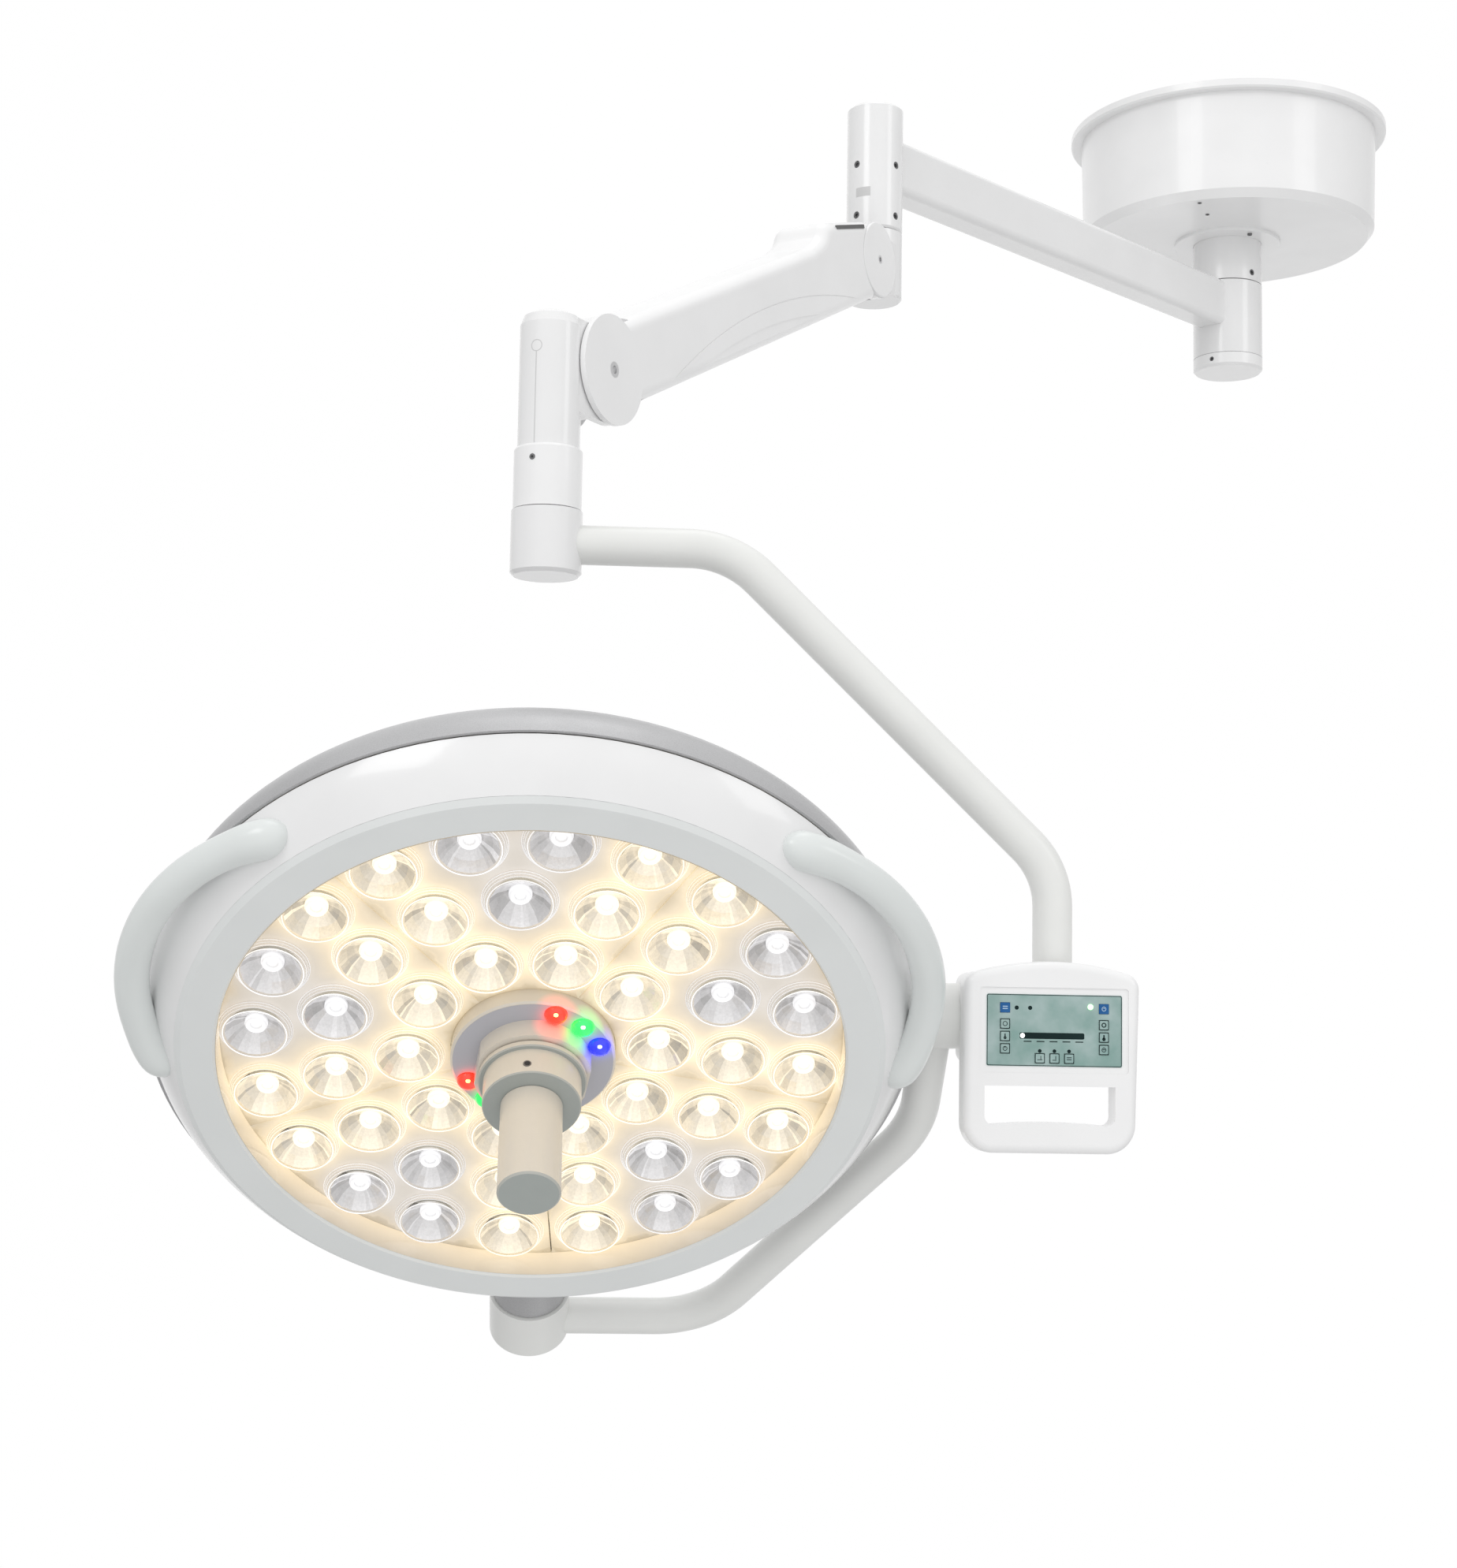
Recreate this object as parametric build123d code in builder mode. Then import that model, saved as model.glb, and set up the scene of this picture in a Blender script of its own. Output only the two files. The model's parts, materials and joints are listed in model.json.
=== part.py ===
"""Ceiling-mounted surgical light: canopy, swinging extension arm, spring arm, two-axis yoke and lamp head.

Frame: origin at the centre of the ceiling plate's top face, +Z up, millimetres.  The upper yoke lies in a
plane parallel to XZ, with the control panel on the -Y side of it.
"""
import os
from math import cos, radians, sin

from build123d import *

os.makedirs("parts", exist_ok=True)

# ---------------------------------------------------------------- driving dimensions
# Ceiling fixing and canopy
plate_radius = 140
plate_thick = 10
bolt_circle = 240
bolt_count = 6
bolt_hole_radius = 6.5
canopy_radius = 186
canopy_depth = 141
canopy_draft = 2.5
canopy_wall = 2.5
canopy_seam_heading = -119
rim_radius = 199
rim_height = 10
collar_disc_radius = 66.7
suspension_radius = 43
suspension_end = -199.6
spindle_radius = 27
spindle_end = -290

# Extension arm, swinging about the ceiling axis
extension_reach = 702
extension_heading = -137.5
hub_radius = 43.4
hub_top = -201
hub_bottom = -295
hub_bore = 37
cap_bottom = -312
beam_top = -201
beam_height = 58
beam_width = 40
end_tube_radius = 30
end_tube_top = -170
end_tube_bottom = -308
end_tube_bore = 25

# Spring arm, hanging from the end tube
arm_reach = 633
arm_heading = -122.5
upper_offset = 52
lower_offset = 51
upper_pivot_height = -355
lower_pivot_height = -607
drum_radius = 40
drum_half_width = 29
cover_disc_thick = 3
cheek_radius = 47.5
cheek_inner = 27
cheek_outer = 32
tongue_radius = 46.5
tongue_half_width = 26
slot_half_width = 18
pin_radius = 7
link_drop = 22
link_pin_radius = 4
arm_half_width = 32
arm_half_height = 36.5
arm_wall = 3
hood_start = 16
hood_end = 178
spigot_radius = 20

# Drop knuckle and yoke
drop_radius = 26.3
drop_top = -568
sleeve_radius = 28.8
sleeve_top = -685
sleeve_bottom = -737
yoke_collar_radius = 30
yoke_collar_bottom = -792.7
yoke_spigot_radius = 18
gimbal_drop = 1151
yoke_tube_radius = 16.5
yoke_tube_wall = 2.5
upper_yoke_height = 386
upper_yoke_reach = 428
joint_radius = 27
tilt_shaft_radius = 17
lower_yoke_reach = 329.5
lower_yoke_drop = 390
hub_outer = 36
trunnion_radius = 18

# Lamp head, measured from the gimbal centre along the light direction
head_tilt = 45
ring_rows = ((100.7, 10), (161.0, 15), (220.7, 20))
module_turn = 4.3
module_count = 5
module_face = 46
module_thick = 3
module_radius = 249.3
lens_radius = 21
lens_back = 17.7
bevel_face = 72
bevel_inner = 249.5
bevel_outer = 281.5
centre_radius = 66
centre_face = 61
rgb_ring_radius = 56
rgb_angles = (20, 46, 72, 203, 229, 255)
grip_collar_radius = 39
grip_collar_face = 110
handle_radius = 24.5
handle_tip = 200.6
side_handle_tube = 13
side_handle_plane = 46

# Control panel, measured from the gimbal centre
panel_centre = 418.5
panel_front_face = -48
panel_back_plane = -22
panel_rear_face = 32
screen_centre = (2, -11)
key_size = 8
key_travel_gap = 0.5
key_column = 40.5
key_rows = (5, -5, -15)
blue_key_height = 18
bottom_key_height = -22.5
bottom_key_pitch = 12

running_gap = 0.05


# ---------------------------------------------------------------- places and directions
def heading(angle):
    """Horizontal unit vector at an angle from +X."""
    return Vector(cos(radians(angle)), sin(radians(angle)), 0)


def lathe(origin, axis, across):
    """Sketch plane for turned parts: its Y runs along the axis and its X is the radius."""
    return Plane(origin=origin, x_dir=across, z_dir=Vector(across).cross(Vector(axis)))


up = Vector(0, 0, 1)
east = Vector(1, 0, 0)
axis_1 = Vector(0, 0, 0)
axis_2 = axis_1 + heading(extension_heading) * extension_reach
axis_3 = axis_2 + heading(arm_heading) * arm_reach
gimbal = axis_3 - up * gimbal_drop

arm_out = heading(arm_heading)
arm_side = heading(arm_heading - 90)
upper_pivot = axis_2 + arm_out * upper_offset + up * upper_pivot_height
lower_pivot = axis_3 - arm_out * lower_offset + up * lower_pivot_height
arm_along = (lower_pivot - upper_pivot).normalized()
arm_length = (lower_pivot - upper_pivot).length
head_light = Vector(0, -cos(radians(head_tilt)), -sin(radians(head_tilt)))
head_down = Vector(0, sin(radians(head_tilt)), -cos(radians(head_tilt)))

ceiling_lathe = lathe(axis_1, up, east)
end_lathe = lathe(axis_2, up, east)
drop_lathe = lathe(axis_3, up, east)
head_lathe = lathe(gimbal, head_light, east)
trunnion_lathe = lathe(gimbal, head_down, east)
tilt_lathe = lathe(gimbal, east, up)
knuckle_side = Plane(origin=axis_2, x_dir=arm_out, z_dir=arm_side)
drop_side = Plane(origin=axis_3, x_dir=arm_out * -1, z_dir=arm_side * -1)
arm_view = Plane(origin=upper_pivot, x_dir=arm_along, z_dir=arm_side)


def head_plane(height):
    """Plane across the lamp head at a height along the light direction; its Y points to the head's top."""
    return Plane(origin=gimbal + head_light * height, x_dir=east, z_dir=head_light)


def panel_plane(depth):
    """Upright plane facing -Y at a depth behind (+) or before (-) the yoke's plane."""
    return Plane(origin=gimbal + east * panel_centre + Vector(0, depth, 0), x_dir=east, z_dir=(0, -1, 0))


# ---------------------------------------------------------------- shared operations
def turn(plane, points, mode=Mode.ADD, arc=360):
    """Turn an outline of (radius, height) points about the plane's Y axis."""
    with BuildSketch(plane) as outline:
        with BuildLine():
            Polyline(*points, close=True)
        make_face()
    revolve(outline.sketch, axis=Axis(plane.origin, plane.y_dir), revolution_arc=arc, mode=mode)


def rod(origin, axis, radius, length, mode=Mode.ADD):
    """A plain round bar, or a round hole, starting at a point."""
    with BuildSketch(Plane(origin=origin, z_dir=axis)) as section:
        Circle(radius)
    extrude(section.sketch, amount=length, mode=mode)


def bent_tube(points, bends, radius, wall):
    """A round tube along straight runs joined by arcs."""
    with BuildLine() as route:
        FilletPolyline(*points, radius=bends)
    with BuildSketch(Plane(origin=route.line @ 0, z_dir=route.line % 0)) as section:
        Circle(radius)
        Circle(radius - wall, mode=Mode.SUBTRACT)
    sweep(section.sketch, path=route.line)


def socket_screw(origin, axis, radius, length):
    """A screw seen as its head with a socket; the axis points out of the head."""
    rod(origin, axis * -1, radius, length)
    rod(origin, axis * -1, radius * 0.5, length * 0.4, mode=Mode.SUBTRACT)


def finish(part, name):
    """Label a finished piece and write it."""
    part.part.label = name
    export_step(part.part, f"parts/{name}.step")
    print(f"{name:20s} {len(part.part.solids()):3d} solids {part.part.volume / 1000:10.1f} cm3")


# ---------------------------------------------------------------- ceiling group
with BuildPart() as ceiling_plate:
    turn(ceiling_lathe, [(38, 0), (plate_radius, 0), (plate_radius, -plate_thick), (38, -plate_thick)])
    with Locations(Plane.XY):
        with PolarLocations(bolt_circle / 2, bolt_count):
            Hole(bolt_hole_radius)
finish(ceiling_plate, "ceiling_plate")

set_screw_height = -190
set_screw_headings = (-60, 60, 180)
with BuildPart() as suspension_tube:
    turn(ceiling_lathe, [(38, -plate_thick), (80, -plate_thick), (80, -18), (suspension_radius, -18),
                         (suspension_radius, suspension_end), (spindle_radius, suspension_end),
                         (spindle_radius, spindle_end), (15, spindle_end), (15, -180), (38, -180)])
    for angle in set_screw_headings:
        rod(heading(angle) * suspension_radius + up * set_screw_height, heading(angle) * -1, 4, 5,
            mode=Mode.SUBTRACT)
finish(suspension_tube, "suspension_tube")

canopy_foot = canopy_radius - canopy_draft
canopy_outline = [(canopy_radius, -rim_height), (canopy_foot, -canopy_depth + 10),
                  (canopy_foot - 8, -canopy_depth), (44.6, -canopy_depth), (44.6, -canopy_depth + canopy_wall),
                  (canopy_foot - 9, -canopy_depth + canopy_wall), (canopy_foot - canopy_wall, -canopy_depth + 11),
                  (canopy_radius - canopy_wall, -rim_height)]
canopy_screw_radii = (165, 120)
for name, start in (("canopy_left", canopy_seam_heading + 180), ("canopy_right", canopy_seam_heading)):
    with BuildPart() as canopy_half:
        turn(lathe(axis_1, up, heading(start)), canopy_outline, arc=180)
        for angle in (canopy_seam_heading + 2, canopy_seam_heading + 182):
            for radius in canopy_screw_radii:
                rod(heading(angle) * radius - up * canopy_depth, up, 2.5, 2, mode=Mode.SUBTRACT)
    finish(canopy_half, name)

with BuildPart() as canopy_rim:
    turn(ceiling_lathe, [(canopy_radius - canopy_wall, 0), (rim_radius, 0), (rim_radius, -rim_height + 2),
                         (rim_radius - 2, -rim_height), (canopy_radius - canopy_wall, -rim_height)])
finish(canopy_rim, "canopy_rim")

collar_bolt_radius = 55
collar_bolt_headings = (-75, 105)
with BuildPart() as canopy_collar:
    turn(ceiling_lathe, [(suspension_radius + 0.2, -canopy_depth), (collar_disc_radius, -canopy_depth),
                         (collar_disc_radius, -canopy_depth - 3), (collar_disc_radius - 1, -canopy_depth - 4),
                         (suspension_radius + 0.2, -canopy_depth - 4)])
    for angle in collar_bolt_headings:
        rod(heading(angle) * collar_bolt_radius - up * (canopy_depth + 4), up, 3, 4, mode=Mode.SUBTRACT)
finish(canopy_collar, "canopy_collar")

with BuildPart() as ceiling_screws:
    for angle in set_screw_headings:
        socket_screw(heading(angle) * (suspension_radius - 0.5) + up * set_screw_height, heading(angle), 4, 4.5)
    for angle in (canopy_seam_heading + 2, canopy_seam_heading + 182):
        for radius in canopy_screw_radii:
            socket_screw(heading(angle) * radius - up * (canopy_depth + 0.8), up * -1, 2.5, 2.8)
    for angle in collar_bolt_headings:
        socket_screw(heading(angle) * collar_bolt_radius - up * (canopy_depth + 6), up * -1, 3, 6)
finish(ceiling_screws, "ceiling_screws")

with BuildPart() as power_supply:
    with BuildSketch(Plane.XY.offset(-plate_thick)):
        with Locations((112, 0)):
            Rectangle(50, 130)
    extrude(amount=-42)
    fillet(power_supply.edges().filter_by(Axis.Z), 4)
finish(power_supply, "power_supply")

# ---------------------------------------------------------------- extension arm
with BuildPart() as extension_hub:
    turn(ceiling_lathe, [(spindle_radius + 2, hub_top), (hub_radius, hub_top), (hub_radius, hub_bottom),
                         (hub_bore, hub_bottom), (hub_bore, hub_top - 6), (spindle_radius + 2, hub_top - 6)])
finish(extension_hub, "extension_hub")

cap_screw_heading = -133
with BuildPart() as hub_cap:
    turn(ceiling_lathe, [(0, cap_bottom), (hub_radius - 3, cap_bottom), (hub_radius, cap_bottom + 3),
                         (hub_radius, hub_bottom - 0.5), (hub_bore, hub_bottom - 0.5), (hub_bore, -291.5),
                         (0, -291.5)])
    rod(heading(cap_screw_heading) * hub_radius - up * 303, heading(cap_screw_heading) * -1, 3, 7,
        mode=Mode.SUBTRACT)
finish(hub_cap, "hub_cap")

beam_section = Plane(origin=axis_1 + up * (beam_top - beam_height / 2), x_dir=heading(extension_heading + 90),
                     z_dir=heading(extension_heading))
with BuildPart() as extension_beam:
    with BuildSketch(beam_section):
        RectangleRounded(beam_width, beam_height, 8)
        RectangleRounded(beam_width - 6, beam_height - 6, 5, mode=Mode.SUBTRACT)
    extrude(amount=extension_reach)
    rod(axis_1 + up * cap_bottom, up, hub_radius, 150, mode=Mode.SUBTRACT)
    rod(axis_2 + up * end_tube_bottom, up, end_tube_radius, 150, mode=Mode.SUBTRACT)
finish(extension_beam, "extension_beam")

brake_screw_heights = (-238, -294)
brake_screw_headings = (extension_heading, extension_heading + 90, extension_heading - 90)
with BuildPart() as end_tube:
    turn(end_lathe, [(end_tube_bore, end_tube_bottom), (end_tube_radius - 2, end_tube_bottom),
                     (end_tube_radius, end_tube_bottom + 2), (end_tube_radius, end_tube_top - 3),
                     (end_tube_radius - 3, end_tube_top), (0, end_tube_top), (0, end_tube_top - 4),
                     (end_tube_bore, end_tube_top - 4)])
    for height in brake_screw_heights:
        for angle in brake_screw_headings:
            rod(axis_2 + heading(angle) * 22 + up * height, heading(angle), 4, 12, mode=Mode.SUBTRACT)
finish(end_tube, "end_tube")

with BuildPart() as brake_screws:
    for height in brake_screw_heights:
        for angle in brake_screw_headings:
            socket_screw(axis_2 + heading(angle) * 29 + up * height, heading(angle), 4, 3.6)
    socket_screw(heading(cap_screw_heading) * (hub_radius - 1) - up * 303, heading(cap_screw_heading), 3, 6)
finish(brake_screws, "brake_screws")

with BuildPart() as arm_bearings:
    for top in (-207, -270):
        turn(ceiling_lathe, [(spindle_radius + running_gap, top), (hub_bore, top), (hub_bore, top - 14),
                             (spindle_radius + running_gap, top - 14)])
    for top in (-196, -270):
        turn(end_lathe, [(spigot_radius + running_gap, top), (end_tube_bore, top), (end_tube_bore, top - 10),
                         (spigot_radius + running_gap, top - 10)])
finish(arm_bearings, "arm_bearings")

# ---------------------------------------------------------------- spring arm: upper knuckle
knuckle_top = end_tube_bottom - 1.5
neck_floor = upper_pivot_height - 27
block_top = upper_pivot_height + 30
with BuildPart() as upper_knuckle:
    with BuildSketch(knuckle_side):
        with Locations((upper_offset, upper_pivot_height)):
            Circle(drum_radius)
    extrude(amount=drum_half_width, both=True)
    with BuildSketch(knuckle_side):
        with Locations((upper_offset / 2, (neck_floor + block_top) / 2)):
            Rectangle(upper_offset, block_top - neck_floor)
    extrude(amount=end_tube_radius - 1, both=True)
    turn(end_lathe, [(0, neck_floor), (end_tube_radius - 2, neck_floor), (end_tube_radius, neck_floor + 2),
                     (end_tube_radius, knuckle_top), (0, knuckle_top)])
    rod(axis_2 + up * knuckle_top, up, end_tube_radius + 1.5, 40, mode=Mode.SUBTRACT)
    rod(axis_2 + up * (knuckle_top - 1), up, spigot_radius, 121)
    with BuildSketch(knuckle_side):
        with Locations((upper_offset + 30, upper_pivot_height)):
            Rectangle(92, 2 * drum_radius + 4)
    extrude(amount=slot_half_width, both=True, mode=Mode.SUBTRACT)
    rod(upper_pivot - arm_side * 40, arm_side, pin_radius, 80, mode=Mode.SUBTRACT)
    rod(upper_pivot - up * link_drop - arm_side * 28, arm_side, link_pin_radius + running_gap, 28,
        mode=Mode.SUBTRACT)
finish(upper_knuckle, "upper_knuckle")

with BuildPart() as knuckle_covers:
    for side in (-1, 1):
        rod(upper_pivot + arm_side * side * drum_half_width, arm_side * side, drum_radius - 1, cover_disc_thick)
    fillet(knuckle_covers.edges().filter_by(GeomType.CIRCLE).group_by(Axis(upper_pivot, arm_side))[0], 1.5)
    fillet(knuckle_covers.edges().filter_by(GeomType.CIRCLE).group_by(Axis(upper_pivot, arm_side))[-1], 1.5)
    rod(upper_pivot - arm_side * 40, arm_side, 4.5, 80, mode=Mode.SUBTRACT)
finish(knuckle_covers, "knuckle_covers")


def pivot_pin(centre, reach, end_radius, end_reach):
    """A pin across the arm whose ends carry a socket."""
    rod(centre - arm_side * reach, arm_side, pin_radius, 2 * reach)
    if end_reach > reach:
        rod(centre - arm_side * end_reach, arm_side, end_radius, 2 * end_reach)
    for side in (-1, 1):
        rod(centre + arm_side * side * end_reach, arm_side * -side, end_radius / 2, 3, mode=Mode.SUBTRACT)


with BuildPart() as upper_pivot_pin:
    pivot_pin(upper_pivot, drum_half_width, 4.5, drum_half_width + cover_disc_thick)
finish(upper_pivot_pin, "upper_pivot_pin")


# ---------------------------------------------------------------- spring arm: covers, core, spring, link
tongue_mouth = arm_length - cheek_radius - 1
with BuildPart() as arm_cover:
    with BuildSketch(arm_view):
        with BuildLine():
            Line((hood_end, arm_half_height), (arm_length, arm_half_height))
            Spline((98, 54.5), (114, 52.6), (124, 44.5), (146, 38.4), (hood_end, arm_half_height),
                   tangents=[(82, 11.5), (1, 0)])
            Polyline((98, 54.5), (hood_start, 43), (hood_start, -arm_half_height),
                     (arm_length, -arm_half_height), (arm_length, arm_half_height))
        make_face()
    extrude(amount=arm_half_width, both=True)
    fillet(arm_cover.edges().filter_by(Axis(upper_pivot, arm_along)), 12)
    with BuildSketch(arm_view):
        with Locations((arm_length, 0)):
            Circle(cheek_radius)
    extrude(amount=cheek_outer, both=True)
    with BuildSketch(arm_view):
        with Locations((tongue_mouth / 2, 0)):
            Rectangle(tongue_mouth, 2 * (arm_half_height - arm_wall))
    extrude(amount=arm_half_width - 6, both=True, mode=Mode.SUBTRACT)
    with BuildSketch(arm_view):
        Polygon((hood_start - 1, 30), (hood_start - 1, 39), (96, 50), (110, 44), (110, 30), align=None)
    extrude(amount=arm_half_width - 8, both=True, mode=Mode.SUBTRACT)
    with BuildSketch(arm_view):
        with Locations((arm_length + 4, 0)):
            Rectangle(2 * cheek_radius + 10, 2 * cheek_radius + 10)
    extrude(amount=cheek_inner, both=True, mode=Mode.SUBTRACT)
    rod(upper_pivot - arm_side * 40, arm_side, drum_radius + 1.5, 80, mode=Mode.SUBTRACT)
    rod(lower_pivot - arm_side * 40, arm_side, pin_radius, 80, mode=Mode.SUBTRACT)
    for side in (-1, 1):
        with BuildSketch(arm_view.offset(side * (arm_half_width - 0.8))) as recess:
            with BuildLine():
                sweep_line = ThreePointArc((121, -arm_half_height), (300, -18.5), (471, -arm_half_height))
                Line(sweep_line @ 0, sweep_line @ 1)
            make_face()
            with BuildLine():
                upper_edge = ThreePointArc((45, -arm_half_height), (280, -0.5), (517, -arm_half_height))
                lower_edge = ThreePointArc((49, -arm_half_height), (280, -1.7), (513, -arm_half_height))
                Line(upper_edge @ 0, lower_edge @ 0)
                Line(upper_edge @ 1, lower_edge @ 1)
            make_face()
        extrude(recess.sketch, amount=2, dir=arm_side * side, mode=Mode.SUBTRACT)

for name, keep in (("arm_shell_right", Keep.BOTTOM), ("arm_shell_left", Keep.TOP)):
    with BuildPart() as arm_shell:
        add(arm_cover.part)
        split(bisect_by=arm_view, keep=keep)
    finish(arm_shell, name)

core_eye = 15
core_half_width = 9
tube_radius = 13
tube_height = 9
tube_start = 62
tube_end = arm_length - 62
with BuildPart() as arm_core:
    for centre, inward in ((0, 1), (arm_length, -1)):
        with BuildSketch(arm_view):
            with Locations((centre, 0)):
                Circle(core_eye)
            with Locations((centre + inward * 45, tube_height)):
                Rectangle(54, 2 * tube_radius)
            with Locations((centre + inward * 20, 1)):
                Rectangle(24, 2 * core_half_width)
        extrude(amount=core_half_width, both=True)
    rod(arm_view.from_local_coords((tube_start, tube_height, 0)), arm_along, tube_radius,
        tube_end - tube_start)
    rod(arm_view.from_local_coords((tube_start + 12, tube_height, 0)), arm_along, tube_radius - 3,
        tube_end - tube_start - 24, mode=Mode.SUBTRACT)
    rod(upper_pivot - arm_side * 40, arm_side, pin_radius + running_gap, 80, mode=Mode.SUBTRACT)
    rod(lower_pivot - arm_side * 40, arm_side, pin_radius, 80, mode=Mode.SUBTRACT)
finish(arm_core, "arm_core")

spring_wire = 3.2
spring_pitch = 12
spring_length = 420
with BuildPart() as arm_spring:
    with BuildLine() as coil:
        Helix(spring_pitch, spring_length, tube_radius - 3.4 - spring_wire / 2,
              center=arm_view.from_local_coords((tube_start + 16, tube_height, 0)), direction=arm_along)
    with BuildSketch(Plane(origin=coil.line @ 0, z_dir=coil.line % 0)):
        Circle(spring_wire / 2)
    sweep(path=coil.line, is_frenet=True)
finish(arm_spring, "arm_spring")

with BuildPart() as lower_pivot_pin:
    pivot_pin(lower_pivot, cheek_outer, pin_radius, cheek_outer)
finish(lower_pivot_pin, "lower_pivot_pin")

link_eye = 8
link_plate = 6
link_offset = 10
link_view = Plane(origin=upper_pivot - up * link_drop - arm_side * link_offset, x_dir=arm_along,
                  z_dir=arm_side * -1)
with BuildPart() as parallel_link:
    with BuildSketch(link_view):
        for centre in (0, arm_length):
            with Locations((centre, 0)):
                Circle(link_eye)
        with Locations((arm_length / 2, 0)):
            Rectangle(arm_length, 8)
    extrude(amount=link_plate)
    for pivot, pin in ((upper_pivot, link_pin_radius), (lower_pivot, link_pin_radius - 0.6)):
        rod(pivot - up * link_drop - arm_side * link_offset, arm_side * -1, pin, 17)
finish(parallel_link, "parallel_link")

# ---------------------------------------------------------------- drop knuckle and its sleeve
spigot_top = -672
tongue_bottom = lower_pivot_height - tongue_radius
tongue_shoulder = drop_top - 6
with BuildPart() as drop_knuckle:
    turn(drop_lathe, [(0, sleeve_bottom), (drop_radius, sleeve_bottom), (drop_radius, drop_top - 12),
                      (drop_radius - 3, drop_top - 4), (drop_radius - 11, drop_top), (0, drop_top)])
    with BuildSketch(drop_side):
        with Locations((lower_offset, lower_pivot_height)):
            Circle(tongue_radius)
        with Locations((lower_offset / 2, (tongue_bottom + tongue_shoulder) / 2)):
            Rectangle(lower_offset, tongue_shoulder - tongue_bottom)
    extrude(amount=tongue_half_width - 0.3, both=True)
    with BuildSketch(drop_side):
        with Locations((lower_offset + 24, lower_pivot_height)):
            Rectangle(88, 2 * tongue_radius + 12)
    extrude(amount=slot_half_width, both=True, mode=Mode.SUBTRACT)
    turn(drop_lathe, [(0, sleeve_bottom), (yoke_spigot_radius + running_gap, sleeve_bottom),
                      (yoke_spigot_radius + running_gap, spigot_top), (0, spigot_top)], mode=Mode.SUBTRACT)
    rod(lower_pivot - arm_side * 40, arm_side, pin_radius + running_gap, 80, mode=Mode.SUBTRACT)
    rod(lower_pivot - up * link_drop - arm_side * 28, arm_side, link_pin_radius + 0.3, 28,
        mode=Mode.SUBTRACT)
finish(drop_knuckle, "drop_knuckle")

with BuildPart() as lock_sleeve:
    turn(drop_lathe, [(drop_radius, sleeve_bottom), (sleeve_radius, sleeve_bottom),
                      (sleeve_radius, sleeve_top - 2), (sleeve_radius - 1.5, sleeve_top),
                      (drop_radius, sleeve_top)])
finish(lock_sleeve, "lock_sleeve")

# ---------------------------------------------------------------- upper yoke
yoke_height = gimbal.Z + upper_yoke_height
with BuildPart() as yoke_collar:
    turn(drop_lathe, [(0, yoke_collar_bottom), (yoke_collar_radius - 3, yoke_collar_bottom),
                      (yoke_collar_radius, yoke_collar_bottom + 3), (yoke_collar_radius, sleeve_bottom - 1),
                      (yoke_spigot_radius, sleeve_bottom - 1), (yoke_spigot_radius, spigot_top - 1),
                      (0, spigot_top - 1)])
    rod(axis_3 + up * yoke_height + east * 12, east, yoke_tube_radius, 40, mode=Mode.SUBTRACT)
finish(yoke_collar, "yoke_collar")


def upper_yoke_point(across, height):
    """A point in the upper yoke's plane, from the gimbal centre."""
    return gimbal + east * across + up * height


socket_seat = 24
with BuildPart() as upper_yoke_tube:
    bent_tube([upper_yoke_point(12, upper_yoke_height), upper_yoke_point(155, upper_yoke_height),
               upper_yoke_point(upper_yoke_reach, 122), upper_yoke_point(upper_yoke_reach, socket_seat)],
              [85, 70], yoke_tube_radius, yoke_tube_wall)
finish(upper_yoke_tube, "upper_yoke_tube")

housing_start = 354
housing_end = 462
with BuildPart() as tilt_housing:
    turn(tilt_lathe, [(0, housing_start), (joint_radius, housing_start), (joint_radius, housing_end),
                      (0, housing_end)])
    rod(upper_yoke_point(upper_yoke_reach, 0), up, yoke_tube_radius + 3, 33)
    rod(upper_yoke_point(upper_yoke_reach, socket_seat), up, yoke_tube_radius, 20, mode=Mode.SUBTRACT)
    rod(gimbal + east * housing_start, east, tilt_shaft_radius + running_gap, 98, mode=Mode.SUBTRACT)
finish(tilt_housing, "tilt_housing")

# ---------------------------------------------------------------- control panel
key_places = {}
for row, height in enumerate(key_rows):
    key_places[f"key_left_{row + 1}"] = (-key_column, height)
    key_places[f"key_right_{row + 1}"] = (key_column, height)
for column in (-1, 0, 1):
    key_places[f"key_bottom_{column + 2}"] = (column * bottom_key_pitch, bottom_key_height)
key_places["key_blue_left"] = (-key_column, blue_key_height)
key_places["key_blue_right"] = (key_column, blue_key_height)
key_points = [(screen_centre[0] + x, screen_centre[1] + y) for x, y in key_places.values()]

with BuildPart() as key_openings:
    with BuildSketch(panel_plane(panel_front_face + 4)):
        with Locations(*key_points):
            Rectangle(key_size + 0.3, key_size + 0.3)
    extrude(amount=10)

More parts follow.
